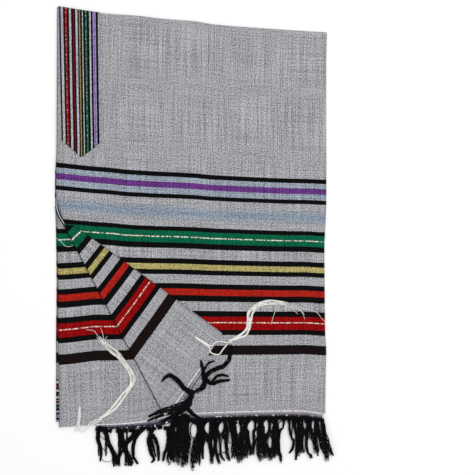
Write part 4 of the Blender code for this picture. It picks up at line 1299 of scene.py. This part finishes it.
# %% [markdown]
# The eyelets are worked like buttonholes: a ring of grey stitches round a small hole. At this size a
# ring and a dark disc, joined into one piece, are enough; the disc is painted shade in the hole.

# %% The eyelets
EYELETS = [(80.2, 405.6, 5.75), (194.2, 336.3, 7.5)]
RING_ROUND, STITCH_ROUND, HOLE_ROUND = 0.0026, 0.0006, 0.0023


def make_eyelet(name, place):
    """A ring of buttonhole stitches round a hole, shown as a disc of painted shade."""
    middle = (spot(*place) + TO_MIDDLE) * MM
    bpy.ops.object.select_all(action="DESELECT")
    bpy.ops.mesh.primitive_torus_add(
        major_segments=28, minor_segments=8, major_radius=RING_ROUND, minor_radius=STITCH_ROUND,
        location=middle,
    )
    ring = bpy.context.object
    # A dark disc of painted shade stands for the hole
    bpy.ops.mesh.primitive_cylinder_add(vertices=20, radius=HOLE_ROUND, depth=0.0004, location=middle)
    hole_shade_disc = bpy.context.object
    for piece, material in ((ring, grey_thread), (hole_shade_disc, black_yarn)):
        piece.data.materials.clear()
        piece.data.materials.append(material)
        for layer in piece.data.uv_layers:
            layer.name = "flat_cloth"
    ring.select_set(True)
    bpy.context.view_layer.objects.active = ring
    bpy.ops.object.join()
    bpy.ops.object.transform_apply(location=True, rotation=True, scale=True)
    bpy.ops.object.shade_smooth_by_angle(angle=math.radians(50))
    ring.name = name
    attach(ring, "root")
    ring.select_set(False)
    print(name, "at", [round(v, 4) for v in middle])
    return ring


grey_thread = make_yarn(
    "grey_thread", (176, 176, 178), (120, 120, 124), roughness=0.8, twist=60, depth=0.0003)
eyelets = [make_eyelet(f"eyelet_{i}", place) for i, place in enumerate(EYELETS)]

# %% [markdown]
# The cloth is made as five main sheets: the top layer, the second layer, the bottom pair, the neck
# band and the corner patch.

# %% The sheets of cloth
print("Main cloth sheets: top layer, second layer, bottom pair, neck band, corner patch")

# %% [markdown]
# The photograph is a cut-out on white, taken from straight above in soft, even light. A long lens
# high over the shawl gives the same flat view. A soft light high at the upper right and a weaker one
# opposite, under a white sky, keep the shadows short and pale.

# %% Floor, light and camera
VIEW_MIDDLE = spot(PHOTO_SIZE / 2, PHOTO_SIZE / 2) + TO_MIDDLE
LENS, SENSOR = 90.0, 36.0
FLOOR_WHITE, SKY_POWER = 0.97, 0.70
CAMERA_HIGH = PHOTO_SIZE * PIXEL * MM * LENS / SENSOR


def make_floor():
    """A plain pale surface."""
    bpy.ops.object.select_all(action="DESELECT")
    bpy.ops.mesh.primitive_plane_add(size=8.0, location=(0.0, 0.0, -0.0004))
    floor = bpy.context.object
    floor.name = "floor"
    material = bpy.data.materials.new("pale_floor")
    material.use_nodes = True
    surface = material.node_tree.nodes["Principled BSDF"]
    surface.inputs["Base Color"].default_value = (FLOOR_WHITE, FLOOR_WHITE, FLOOR_WHITE, 1.0)
    surface.inputs["Roughness"].default_value = 0.9
    floor.data.materials.append(material)


def make_light(name, place, size, power):
    """A square soft light that faces the shawl."""
    bpy.ops.object.light_add(type="AREA", location=place)
    light = bpy.context.object
    light.name = name
    light.data.size = size
    light.data.energy = power
    light.rotation_euler = (-Vector(place)).to_track_quat("-Z", "Y").to_euler()


make_floor()
make_light("key_light", place=(1.1, 0.9, 3.0), size=1.6, power=41)
make_light("fill_light", place=(-2.2, -0.8, 3.0), size=3.0, power=12)
world = bpy.data.worlds.new("studio")
world.use_nodes = True
world.node_tree.nodes["Background"].inputs["Color"].default_value = (1.0, 1.0, 1.0, 1.0)
world.node_tree.nodes["Background"].inputs["Strength"].default_value = SKY_POWER
bpy.context.scene.world = world
bpy.context.scene.view_settings.view_transform = "Standard"
bpy.ops.object.camera_add(location=(VIEW_MIDDLE.x * MM, VIEW_MIDDLE.y * MM, CAMERA_HIGH), rotation=(0, 0, 0))
camera = bpy.context.object
camera.data.lens = LENS
camera.data.sensor_width = SENSOR
bpy.context.scene.camera = camera
print("Camera", round(CAMERA_HIGH, 3), "m above the floor")

# %% [markdown]
# The dressed shawl should fill the same box as the imported part.

# %% Finish
bpy.ops.object.select_all(action="DESELECT")
